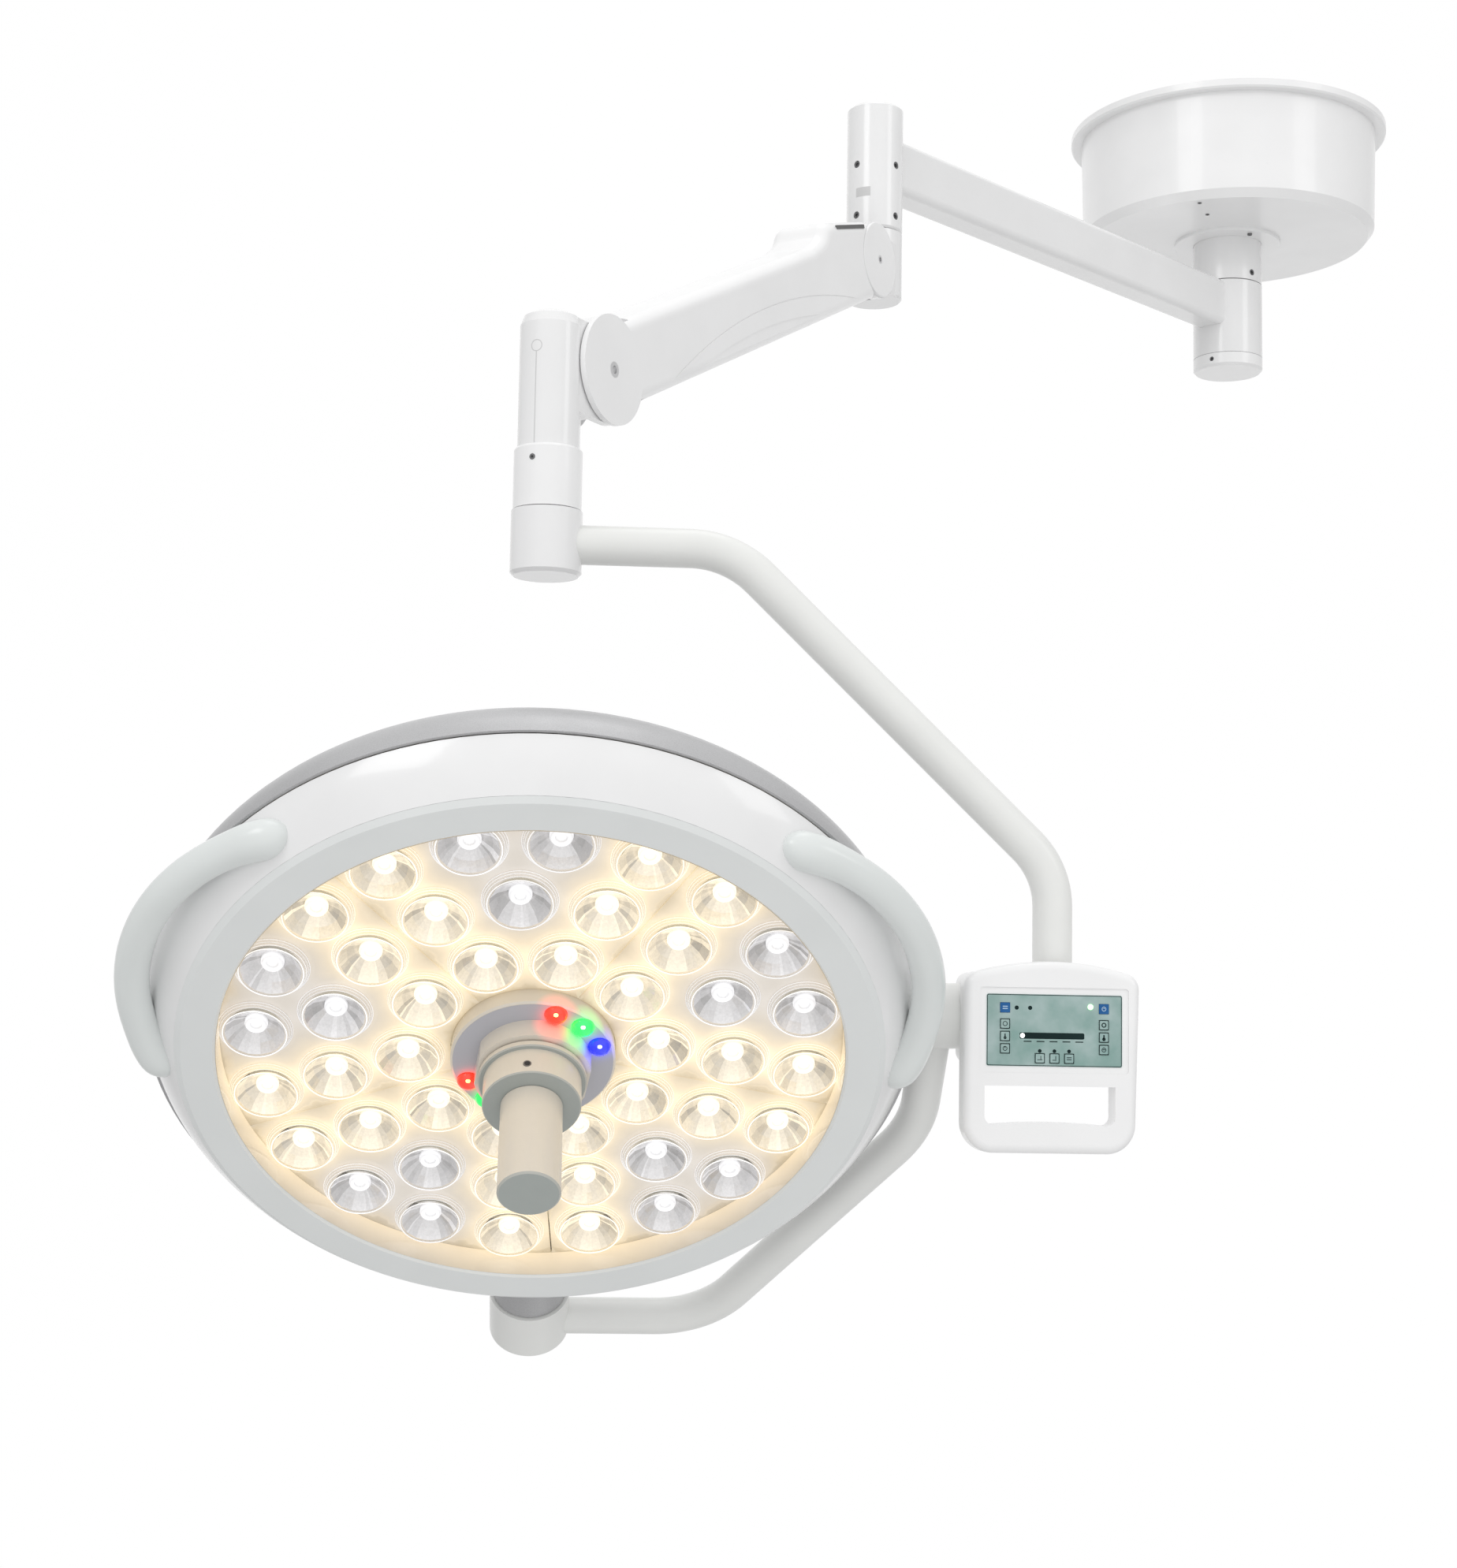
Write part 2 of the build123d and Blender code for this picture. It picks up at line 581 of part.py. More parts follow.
loop_foot = -110
loop_opening = ((-55, 52), (-88, -56))
with BuildPart() as panel_front:
    with BuildSketch(panel_plane(panel_back_plane)):
        with BuildLine():
            crown = ThreePointArc((-71.5, 33), (0, 45), (73, 33))
            Line(crown @ 0, (-71.5, loop_foot))
            Line((-71.5, loop_foot), (69, loop_foot))
            Line((69, loop_foot), crown @ 1)
        make_face()
    extrude(amount=panel_back_plane - panel_front_face)
    upright_edges = panel_front.edges().filter_by(Axis.Y)
    fillet(upright_edges.group_by(Axis.Z)[0], 24)
    fillet(panel_front.edges().filter_by(Axis.Y).group_by(Axis.Z)[-1], 14)
    fillet(panel_front.faces().sort_by(Axis.Y)[0].outer_wire().edges(), 7)
    with BuildSketch(panel_plane(panel_back_plane)):
        with Locations((0, -11)):
            RectangleRounded(132, 70, 5)
    extrude(amount=panel_back_plane - panel_front_face - 3.5, mode=Mode.SUBTRACT)
    with BuildSketch(panel_plane(panel_back_plane)):
        with BuildLine():
            (left, right), (low, high) = loop_opening
            sill = ThreePointArc((left, low), (-1, low + 3), (right, low))
            Polyline(sill @ 1, (right, high), (left, high), sill @ 0)
        loop_outline = make_face()
        fillet(loop_outline.vertices().group_by(Axis.Y)[0], 7)
    extrude(amount=40, both=True, mode=Mode.SUBTRACT)
    with BuildSketch(panel_plane(panel_front_face)):
        with Locations(screen_centre):
            RectangleRounded(122, 69, 3)
    extrude(amount=-1.2, mode=Mode.SUBTRACT)
    add(key_openings.part, mode=Mode.SUBTRACT)
    rod(gimbal + east * 340, east, joint_radius + 0.7, 40, mode=Mode.SUBTRACT)
finish(panel_front, "panel_front")

rear_half_width = 67
with BuildPart() as panel_rear:
    with BuildSketch(panel_plane(panel_back_plane)):
        with Locations((0, -1)):
            RectangleRounded(2 * rear_half_width, 76, 10)
    extrude(amount=panel_back_plane - panel_rear_face)
    fillet(panel_rear.faces().sort_by(Axis.Y)[-1].outer_wire().edges(), 8)
    with BuildSketch(panel_plane(panel_back_plane)):
        with Locations((0, -1)):
            RectangleRounded(2 * rear_half_width - 5, 71, 8)
    extrude(amount=panel_back_plane - panel_rear_face + 2.5, mode=Mode.SUBTRACT)
    rod(gimbal + east * 340, east, joint_radius + 0.7, 40, mode=Mode.SUBTRACT)
    rod(upper_yoke_point(upper_yoke_reach, 20), up, yoke_tube_radius + 0.5, 40, mode=Mode.SUBTRACT)
finish(panel_rear, "panel_rear")

board_face = panel_front_face + 4.6
with BuildPart() as panel_board:
    with BuildSketch(panel_plane(board_face)):
        with Locations((0, -11)):
            Rectangle(124, 64)
    extrude(amount=-1.6)
    with BuildSketch(panel_plane(board_face + 1.6)):
        with Locations((-30, -22), (28, -22)):
            Rectangle(16, 10)
        with Locations((0, 14)):
            Rectangle(30, 6)
    extrude(amount=-2.5)
    with BuildSketch(panel_plane(board_face)):
        with Locations((-56, 12), (56, 12), (-56, -35), (56, -35)):
            Circle(1.6)
    extrude(amount=-1.6, mode=Mode.SUBTRACT)
finish(panel_board, "panel_board")

with BuildPart() as panel_overlay:
    with BuildSketch(panel_plane(panel_front_face + 1.2)):
        with Locations(screen_centre):
            RectangleRounded(111, 58, 1.5)
    extrude(amount=0.6)
    add(key_openings.part, mode=Mode.SUBTRACT)
finish(panel_overlay, "panel_overlay")

for name, point in zip(key_places, key_points):
    with BuildPart() as key:
        with BuildSketch(panel_plane(board_face - key_travel_gap)):
            with Locations(point):
                RectangleRounded(key_size, key_size, 1)
        extrude(amount=board_face - key_travel_gap - panel_front_face - 0.1)
    finish(key, name)

# ---------------------------------------------------------------- lower yoke
hub_start = 354
hub_end = 407
with BuildPart() as tilt_hub:
    turn(tilt_lathe, [(0, 314), (joint_radius - 3, 314), (joint_radius, 317), (joint_radius, housing_start - 1),
                      (tilt_shaft_radius, housing_start - 1), (tilt_shaft_radius, housing_end - 12),
                      (0, housing_end - 12)])
    rod(gimbal + east * lower_yoke_reach + head_down * 14, head_down, yoke_tube_radius, 30,
        mode=Mode.SUBTRACT)
finish(tilt_hub, "tilt_hub")


def lower_yoke_point(across, reach):
    """A point in the lower yoke's plane, from the gimbal centre."""
    return gimbal + east * across + head_down * reach


with BuildPart() as lower_yoke_tube:
    bent_tube([lower_yoke_point(lower_yoke_reach, 14), lower_yoke_point(lower_yoke_reach, 133),
               lower_yoke_point(160, lower_yoke_drop), lower_yoke_point(24, lower_yoke_drop)],
              [110, 85], yoke_tube_radius, yoke_tube_wall)
finish(lower_yoke_tube, "lower_yoke_tube")

with BuildPart() as bottom_hub:
    turn(trunnion_lathe, [(0, hub_end), (hub_outer - 3, hub_end), (hub_outer, hub_end - 3),
                          (hub_outer, hub_start), (trunnion_radius + running_gap, hub_start),
                          (trunnion_radius + running_gap, hub_end - 6), (0, hub_end - 6)])
    rod(lower_yoke_point(24, lower_yoke_drop), east, yoke_tube_radius, 30, mode=Mode.SUBTRACT)
finish(bottom_hub, "bottom_hub")

# ---------------------------------------------------------------- lamp head: shell
cover_edge = 29
cover_wall = 2.5
boss_radius = 33
boss_start = 296
with BuildPart() as rear_cover:
    for shrink, mode in ((0, Mode.ADD), (cover_wall, Mode.SUBTRACT)):
        with BuildSketch(head_lathe):
            with BuildLine():
                rim = ThreePointArc((311 - shrink, cover_edge), (307 - shrink, 0), (286 - shrink, -26 + shrink))
                dome = ThreePointArc(rim @ 1, (160, -56 + shrink), (0, -64 + shrink))
                Polyline(dome @ 1, (0, cover_edge), rim @ 0)
            make_face()
        revolve(axis=Axis(gimbal, head_light), mode=mode)
    rod(gimbal + head_down * 270, head_down, boss_radius + 0.2, 60, mode=Mode.SUBTRACT)
finish(rear_cover, "rear_cover")

front_edge = 68.5
with BuildPart() as front_housing:
    with BuildSketch(head_lathe):
        with BuildLine():
            outside = ThreePointArc((bevel_outer, front_edge), (297, 51), (308.5, cover_edge + 1))
            inside = ThreePointArc((bevel_outer - 3.5, front_edge - 2), (294, 49), (305.5, cover_edge + 1))
            Line(outside @ 0, inside @ 0)
            Line(outside @ 1, inside @ 1)
        make_face()
    revolve(axis=Axis(gimbal, head_light))
    rod(gimbal + head_down * 270, head_down, boss_radius + 0.2, 60, mode=Mode.SUBTRACT)
finish(front_housing, "front_housing")

with BuildPart() as bevel_ring:
    turn(head_lathe, [(bevel_inner, 43), (bevel_inner, bevel_face - 2), (bevel_inner + 2, bevel_face),
                      (bevel_outer - 5, bevel_face), (bevel_outer, front_edge + 0.3),
                      (bevel_outer - 3.3, front_edge - 1.9), (bevel_outer - 6, bevel_face - 2.5),
                      (bevel_inner + 3, bevel_face - 2.5), (bevel_inner + 2.5, bevel_face - 4),
                      (bevel_inner + 2.5, 43)])
finish(bevel_ring, "bevel_ring")

with BuildPart() as head_trunnion:
    turn(trunnion_lathe, [(0, boss_start), (boss_radius, boss_start), (boss_radius, hub_start - 1),
                          (trunnion_radius, hub_start - 1), (trunnion_radius, hub_end - 12),
                          (0, hub_end - 12)])
    with BuildSketch(head_plane(-14)):
        with Locations((0, -200)):
            Rectangle(56, 200)
    extrude(amount=20)
finish(head_trunnion, "head_trunnion")

sink_back = 6
sink_front = 14
with BuildPart() as heat_sink:
    with BuildSketch(head_plane(sink_back)):
        Circle(240)
        Circle(40, mode=Mode.SUBTRACT)
    extrude(amount=sink_front - sink_back)
    with BuildSketch(head_plane(sink_back)):
        with PolarLocations(150, 18, start_angle=-63, angular_range=306, endpoint=True):
            Rectangle(120, 3)
    extrude(amount=-12)
finish(heat_sink, "heat_sink")

# ---------------------------------------------------------------- lamp head: light engine
lens_places = []
for radius, count in ring_rows:
    for index in range(count):
        angle = radians(module_turn - 90 + (index + 0.5) * 360 / count)
        lens_places.append((radius * cos(angle), radius * sin(angle)))

seam_gap = 0.6
module_plane = head_plane(module_face - module_thick)
with BuildPart() as lens_modules:
    with BuildSketch(module_plane):
        Circle(module_radius)
        Circle(centre_radius + 0.4, mode=Mode.SUBTRACT)
        with Locations(*lens_places):
            Circle(lens_radius + 0.3, mode=Mode.SUBTRACT)
        with PolarLocations(170, module_count, start_angle=module_turn - 90):
            Rectangle(240, seam_gap, mode=Mode.SUBTRACT)
    extrude(amount=module_thick)
finish(lens_modules, "lens_modules")

board_thick = 1.6
led_size = 4.5
led_top = sink_front + board_thick + 1.4
with BuildPart() as lamp_boards:
    with BuildSketch(head_plane(sink_front)):
        Circle(242)
        Circle(68, mode=Mode.SUBTRACT)
        with PolarLocations(170, module_count, start_angle=module_turn - 90):
            Rectangle(240, 3, mode=Mode.SUBTRACT)
    extrude(amount=board_thick)
    with BuildSketch(head_plane(sink_front + board_thick)):
        with Locations(*lens_places):
            Rectangle(led_size, led_size)
    extrude(amount=led_top - sink_front - board_thick)
    with BuildSketch(head_plane(-30)):
        with Locations((0, 120)):
            Rectangle(150, 90)
    extrude(amount=1.6)
    with BuildSketch(head_plane(-28.4)):
        with Locations((-45, 120), (0, 135), (40, 110)):
            Rectangle(24, 30)
    extrude(amount=16)
finish(lamp_boards, "lamp_boards")

with BuildPart() as lenses:
    for point in lens_places:
        with BuildSketch(head_plane(lens_back)):
            with Locations(point):
                Circle(7)
        with BuildSketch(head_plane(module_face - 2)):
            with Locations(point):
                Circle(lens_radius)
        loft()
    with BuildSketch(head_plane(module_face - 2)):
        with Locations(*lens_places):
            Circle(lens_radius)
    extrude(amount=3)
finish(lenses, "lenses")

# ---------------------------------------------------------------- lamp head: centre, focus grip, handles
base_top = 78
stem_radius = 20
stem_top = 106
with BuildPart() as centre_housing:
    turn(head_lathe, [(0, sink_front), (centre_radius - 1, sink_front), (centre_radius, centre_face - 1.5),
                      (centre_radius - 1.5, centre_face), (0, centre_face)])
    with BuildSketch(head_plane(centre_face)):
        Circle(47)
        Rectangle(89, 94, rotation=-8.5, mode=Mode.INTERSECT)
    extrude(amount=base_top - centre_face)
    turn(head_lathe, [(0, base_top), (stem_radius, base_top), (stem_radius, stem_top), (0, stem_top)])
finish(centre_housing, "centre_housing")

rgb_lens_radius = 8
with BuildPart() as rgb_lenses:
    with BuildSketch(head_plane(centre_face)):
        for angle in rgb_angles:
            with Locations((rgb_ring_radius * cos(radians(angle)), rgb_ring_radius * sin(radians(angle)))):
                Circle(rgb_lens_radius)
    extrude(amount=3)
    fillet(rgb_lenses.edges().filter_by(GeomType.CIRCLE).group_by(Axis(gimbal, head_light))[-1], 2.5)
finish(rgb_lenses, "rgb_lenses")

core_radius = 17
core_top = 150
with BuildPart() as focus_collar:
    turn(head_lathe, [(stem_radius + running_gap, base_top + 1), (42, base_top + 1), (43, base_top + 2),
                      (43, base_top + 6), (42, base_top + 7), (grip_collar_radius, base_top + 7),
                      (grip_collar_radius, grip_collar_face - 1), (grip_collar_radius - 1, grip_collar_face),
                      (core_radius, grip_collar_face), (core_radius, core_top), (0, core_top),
                      (0, stem_top + 0.5), (stem_radius + running_gap, stem_top + 0.5)])
finish(focus_collar, "focus_collar")

with BuildPart() as sterile_handle:
    turn(head_lathe, [(core_radius + 0.1, grip_collar_face + 0.2), (handle_radius - 0.5, grip_collar_face + 0.2),
                      (handle_radius, grip_collar_face + 0.7), (handle_radius, handle_tip - 1.5),
                      (handle_radius - 1.5, handle_tip), (0, handle_tip), (0, handle_tip - 4),
                      (core_radius + 0.1, handle_tip - 4)])
finish(sterile_handle, "sterile_handle")

handle_corners = ((288, 54), (346, 41), (346, 9), (288, -4))
for name, side in (("side_handle_right", 1), ("side_handle_left", -1)):
    corners = [gimbal + head_light * side_handle_plane + east * side * radius * cos(radians(angle))
               - head_down * radius * sin(radians(angle)) for radius, angle in handle_corners]
    with BuildPart() as side_handle:
        bent_tube(corners, [115, 115], side_handle_tube, 3)
        with BuildSketch(head_lathe):
            with BuildLine():
                wall = ThreePointArc((bevel_outer, front_edge), (297, 51), (308.5, cover_edge + 1))
                Polyline(wall @ 1, (240, cover_edge + 1), (240, front_edge), wall @ 0)
            make_face()
        revolve(axis=Axis(gimbal, head_light), mode=Mode.SUBTRACT)
    finish(side_handle, name)
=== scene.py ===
"""Looks of the ceiling-mounted surgical light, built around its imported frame.

Pieces are drawn in millimetres in their own local frame and placed in the row frame in metres.
"""
import json
from math import cos, exp, hypot, pi, radians, sin
from random import Random

import bpy
from mathutils import Matrix, Vector
from mathutils.geometry import delaunay_2d_cdt


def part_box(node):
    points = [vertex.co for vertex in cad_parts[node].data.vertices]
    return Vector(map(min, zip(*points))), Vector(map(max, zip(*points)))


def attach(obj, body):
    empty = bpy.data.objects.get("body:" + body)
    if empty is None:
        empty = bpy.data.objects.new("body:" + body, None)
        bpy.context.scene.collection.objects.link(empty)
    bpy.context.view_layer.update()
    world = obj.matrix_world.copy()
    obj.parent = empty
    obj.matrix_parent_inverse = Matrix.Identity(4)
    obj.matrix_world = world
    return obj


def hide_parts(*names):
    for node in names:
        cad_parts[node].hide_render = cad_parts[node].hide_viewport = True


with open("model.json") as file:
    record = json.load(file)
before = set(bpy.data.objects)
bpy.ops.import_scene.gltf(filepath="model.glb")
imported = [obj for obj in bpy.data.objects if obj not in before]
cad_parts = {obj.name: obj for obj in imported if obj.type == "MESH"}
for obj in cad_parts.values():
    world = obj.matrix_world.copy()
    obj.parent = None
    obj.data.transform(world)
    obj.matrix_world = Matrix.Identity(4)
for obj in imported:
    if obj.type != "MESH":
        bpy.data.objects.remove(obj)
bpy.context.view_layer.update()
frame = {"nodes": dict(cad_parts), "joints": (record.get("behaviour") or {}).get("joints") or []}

MM = 0.001
NODES = frame["nodes"]
JOINTS = {joint["name"]: joint for joint in frame["joints"]}


# ---------------------------------------------------------------- places, from the frame
def local_frame(origin, x_axis, z_axis):
    """Matrix of a right-handed frame from its origin, X and Z."""
    x, z = Vector(x_axis).normalized(), Vector(z_axis).normalized()
    matrix = Matrix((x, z.cross(x), z)).transposed().to_4x4()
    matrix.translation = Vector(origin)
    return matrix


EAST = Vector((1, 0, 0))
GIMBAL = Vector(JOINTS["yoke_tilt"]["pos_m"])
HEAD = local_frame(GIMBAL, EAST, JOINTS["focus_turn"]["axis"])
UPPER_PIVOT = Vector(JOINTS["arm_tilt"]["pos_m"])
LOWER_PIVOT = Vector(JOINTS["drop_level"]["pos_m"])
ARM_SIDE = Vector(JOINTS["arm_tilt"]["axis"])
ARM = local_frame(UPPER_PIVOT, LOWER_PIVOT - UPPER_PIVOT, ARM_SIDE)
LIGHT = Vector(JOINTS["focus_turn"]["axis"])
overlay_low, overlay_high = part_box("panel_overlay")
SCREEN = local_frame(((overlay_low.x + overlay_high.x) / 2, overlay_low.y, (overlay_low.z + overlay_high.z) / 2),
                     EAST, (0, -1, 0))


# ---------------------------------------------------------------- node materials
class Shader:
    """A small helper that builds one node tree."""

    def __init__(self, name):
        self.material = bpy.data.materials.new(name)
        self.material.use_nodes = True
        self.tree = self.material.node_tree
        self.tree.nodes.clear()
        self.output = self.node("ShaderNodeOutputMaterial")

    def node(self, kind, **inputs):
        made = self.tree.nodes.new(kind)
        for name, value in inputs.items():
            socket = made.inputs[name.replace("_", " ")]
            if isinstance(value, bpy.types.NodeSocket):
                self.tree.links.new(value, socket)
            else:
                socket.default_value = value
        return made

    def link(self, source, target):
        self.tree.links.new(source, target)

    def place(self):
        """Object coordinates, which move with the piece."""
        return self.node("ShaderNodeTexCoord").outputs["Object"]

    def noise(self, size_mm, detail=2.0, rough=0.5):
        made = self.node("ShaderNodeTexNoise", Vector=self.place(), Scale=1 / (size_mm * MM), Detail=detail,
                         Roughness=rough)
        return made.outputs["Fac"]

    def glow(self):
        """The glow colour stored at the mesh's points."""
        made = self.node("ShaderNodeAttribute")
        made.attribute_name = "glow"
        return made.outputs["Color"]

    def span(self, value, low, high, start=0.0, end=1.0):
        """Map start..end to low..high."""
        made = self.node("ShaderNodeMapRange", Value=value, From_Min=start, From_Max=end, To_Min=low, To_Max=high)
        return made.outputs["Result"]

    def compare(self, operation, place, fixed):
        """Distance or dot product of a vector with a fixed one."""
        made = self.tree.nodes.new("ShaderNodeVectorMath")
        made.operation = operation
        self.link(place, made.inputs[0])
        made.inputs[1].default_value = fixed
        return made.outputs["Value"]

    def math(self, operation, first, second=0.0):
        made = self.tree.nodes.new("ShaderNodeMath")
        made.operation = operation
        for socket, value in zip(made.inputs, (first, second)):
            if isinstance(value, bpy.types.NodeSocket):
                self.link(value, socket)
            else:
                socket.default_value = value
        return made.outputs[0]

    def blend(self, share, first, second):
        """Mix two colours."""
        made = self.tree.nodes.new("ShaderNodeMix")
        made.data_type = "RGBA"
        for name, value in (("Factor_Float", share), ("A_Color", first), ("B_Color", second)):
            socket = next(s for s in made.inputs if s.identifier == name)
            if isinstance(value, bpy.types.NodeSocket):
                self.link(value, socket)
            else:
                socket.default_value = value if name == "Factor_Float" else (*value, 1)
        return next(s for s in made.outputs if s.identifier == "Result_Color")

    def bump(self, height, strength, depth_mm):
        return self.node("ShaderNodeBump", Height=height, Strength=strength, Distance=depth_mm * MM).outputs["Normal"]

    def finish(self, surface):
        self.link(surface, self.output.inputs["Surface"])
        return self.material


def coated(name, colour, roughness, metallic=0.0, coat=0.0, peel=0.15, peel_mm=1.6, mottle=0.04, flake=0.0):
    """Painted, moulded or bare surface: orange peel, faint mottling and uneven gloss."""
    shader = Shader(name)
    patches = shader.noise(60, detail=4)
    base = shader.blend(patches, [c * (1 - mottle) for c in colour], [min(1, c * (1 + mottle)) for c in colour])
    if flake:
        base = shader.blend(shader.span(shader.noise(0.9, detail=6, rough=0.8), 0.5 - flake, 0.5 + flake), base,
                            [min(1, c * 1.9) for c in colour])
    wipes = shader.noise(22, detail=5, rough=0.65)
    surface = shader.node(
        "ShaderNodeBsdfPrincipled", Base_Color=base, Metallic=metallic,
        Roughness=shader.span(wipes, roughness * 0.8, roughness * 1.25), Coat_Weight=coat, Coat_Roughness=0.08,
        Normal=shader.bump(shader.noise(peel_mm, detail=3), peel, 0.12))
    return shader.finish(surface.outputs["BSDF"])


def lamp_plate():
    """Cream moulded plate with the lenses' light painted on it as emission, following the glow stored at its points."""
    shader = Shader("lens_plate_glow")
    cloud = shader.span(shader.noise(14, detail=4), 0.94, 1.05)
    surface = shader.node(
        "ShaderNodeBsdfPrincipled", Base_Color=(0.46, 0.43, 0.39, 1), Roughness=0.16, Coat_Weight=0.6,
        Emission_Color=shader.glow(), Emission_Strength=cloud,
        Normal=shader.bump(shader.noise(6, detail=3), 0.25, 0.3))
    return shader.finish(surface.outputs["BSDF"])


def acrylic(name, tint, gloss):
    """Clear moulded acrylic: bright at glancing angles, faintly tinted, with a trace of haze."""
    shader = Shader(name)
    edge = shader.node("ShaderNodeLayerWeight", Blend=0.5, Normal=shader.bump(shader.noise(3, detail=2), 0.1, 0.2))
    share = shader.span(edge.outputs["Facing"], 0.1, gloss)
    haze = shader.node("ShaderNodeBsdfPrincipled", Base_Color=(0.95, 0.93, 0.9, 1), Roughness=0.06,
                       Coat_Weight=1.0, Coat_Roughness=0.03)
    clear = shader.node("ShaderNodeBsdfTransparent", Color=(*tint, 1))
    mixed = shader.node("ShaderNodeMixShader", Fac=share)
    shader.link(clear.outputs["BSDF"], mixed.inputs[1])
    shader.link(haze.outputs["BSDF"], mixed.inputs[2])
    return shader.finish(mixed.outputs["Shader"])


def reflector():
    """Faceted inner wall of a lens: metal-like reflections over a glow stored at its points, which is the LED's light
    with painted reflections and shade.
    """
    shader = Shader("lens_facets")
    streaks = shader.noise(2.2, detail=4, rough=0.65)
    surface = shader.node(
        "ShaderNodeBsdfPrincipled", Base_Color=(0.42, 0.41, 0.40, 1), Metallic=0.6, Roughness=0.14,
        Emission_Color=shader.glow(), Emission_Strength=shader.span(streaks, 0.65, 1.35),
        Normal=shader.bump(streaks, 0.45, 0.5))
    return shader.finish(surface.outputs["BSDF"])


def light_core(name, strength):
    """Lit part of a lens or lamp, or a painted highlight, whose colour and brightness are stored at its points."""
    shader = Shader(name)
    surface = shader.node("ShaderNodeBsdfPrincipled", Base_Color=(0.8, 0.8, 0.8, 1), Roughness=0.08,
                          Emission_Color=shader.glow(),
                          Emission_Strength=shader.span(shader.noise(3, detail=2), strength * 0.8, strength * 1.2))
    return shader.finish(surface.outputs["BSDF"])


def film(name, colour, light, grain=0.05, shine=0.35):
    """Printed membrane film with fine grain and a soft cloud."""
    shader = Shader(name)
    fine = shader.span(shader.noise(0.5, detail=3), 0.5 - grain * 4, 0.5 + grain * 4)
    base = shader.blend(fine, [c * (1 - grain) for c in colour], [min(1, c * (1 + grain)) for c in colour])
    cloud = shader.span(shader.noise(26, detail=3), 0, 1, start=0.35, end=0.7)
    base = shader.blend(cloud, base, light)
    surface = shader.node("ShaderNodeBsdfPrincipled", Base_Color=base, Roughness=0.38, Specular_IOR_Level=shine,
                          Normal=shader.bump(shader.noise(0.7), 0.08, 0.05))
    return shader.finish(surface.outputs["BSDF"])


def grip_plastic(name, side_colour, painted_shade_colour):
    """Moulded cream grip, with painted shade in grey-green on the faces that look along the lamp's beam."""
    shader = Shader(name)
    normal = shader.node("ShaderNodeTexCoord").outputs["Normal"]
    # Painted shade: faces turned along the lamp's beam take the grey-green shade colour instead of cream.
    share = shader.span(shader.compare("DOT_PRODUCT", normal, LIGHT), 0, 1, start=0.35, end=0.85)
    mottle = shader.span(shader.noise(9, detail=5, rough=0.6), 0.0, 0.5)
    side = shader.blend(mottle, side_colour, [c * 1.1 for c in side_colour])
    face = shader.blend(mottle, painted_shade_colour, [c * 0.86 for c in painted_shade_colour])
    surface = shader.node(
        "ShaderNodeBsdfPrincipled", Base_Color=shader.blend(share, side, face), Coat_Weight=0.15,
        Roughness=shader.span(shader.noise(16, detail=4), 0.28, 0.44),
        Normal=shader.bump(shader.noise(0.9, detail=3), 0.22, 0.12))
    return shader.finish(surface.outputs["BSDF"])


WHITE = coated("gloss_white", (0.86, 0.86, 0.862), 0.24, coat=0.5)
WHITE_PLASTIC = coated("moulded_white", (0.9, 0.9, 0.902), 0.3, coat=0.3, peel=0.08)
YOKE = coated("yoke_satin", (0.83, 0.835, 0.815), 0.38, coat=0.2, peel=0.2, peel_mm=1.2)
GRIP = coated("bow_satin", (0.76, 0.79, 0.78), 0.3, coat=0.3)
BEVEL = coated("bevel_grey", (0.79, 0.81, 0.805), 0.34, coat=0.2, peel=0.1)
COVER = coated("cover_grey_metallic", (0.33, 0.33, 0.335), 0.42, metallic=0.45, coat=0.2, flake=0.6)
STEEL = coated("machined_steel", (0.55, 0.55, 0.56), 0.3, metallic=1.0, peel=0.05, flake=0.15)
ZINC = coated("zinc_plate", (0.6, 0.61, 0.62), 0.38, metallic=0.9, mottle=0.12)
SCREW = coated("screw_steel", (0.2, 0.2, 0.205), 0.32, metallic=0.9, peel=0.3, peel_mm=0.6)
ALUMINIUM = coated("mill_aluminium", (0.68, 0.69, 0.7), 0.36, metallic=0.95, peel_mm=0.8)
BOARD = coated("board_white", (0.72, 0.74, 0.72), 0.45, peel=0.05)
HANDLE = grip_plastic("grip_cream", (0.72, 0.66, 0.57), (0.40, 0.43, 0.41))
GROOVE_SHADE_AND_LABEL_GREY = coated("groove_shade_and_label_grey", (0.62, 0.62, 0.62), 0.5)
SLOT_PAINTED_SHADE = coated("slot_painted_shade", (0.12, 0.12, 0.12), 0.5)
SHADOW = coated("dark_gap", (0.03, 0.03, 0.032), 0.6, peel=0.4, peel_mm=0.8)
TEAL = film("overlay_teal", (0.24, 0.38, 0.35), (0.42, 0.53, 0.52))
KEY_TEAL = film("key_teal", (0.27, 0.41, 0.39), (0.43, 0.55, 0.53))
KEY_BLUE = film("key_blue", (0.01, 0.08, 0.26), (0.03, 0.14, 0.36), shine=0.15)
INK = film("print_ink", (0.008, 0.02, 0.02), (0.012, 0.03, 0.03), shine=0.08)
PALE_INK = film("print_pale", (0.34, 0.5, 0.68), (0.45, 0.6, 0.75))
LENS_CLEAR = acrylic("lens_acrylic", (0.985, 0.975, 0.96), 0.85)
LENS_FACETS = reflector()
LENS_LIGHT = light_core("lens_light", 1.0)
STEP_HIGHLIGHT_GLOW = light_core("lens_step_highlight", 0.8)
PLATE = lamp_plate()

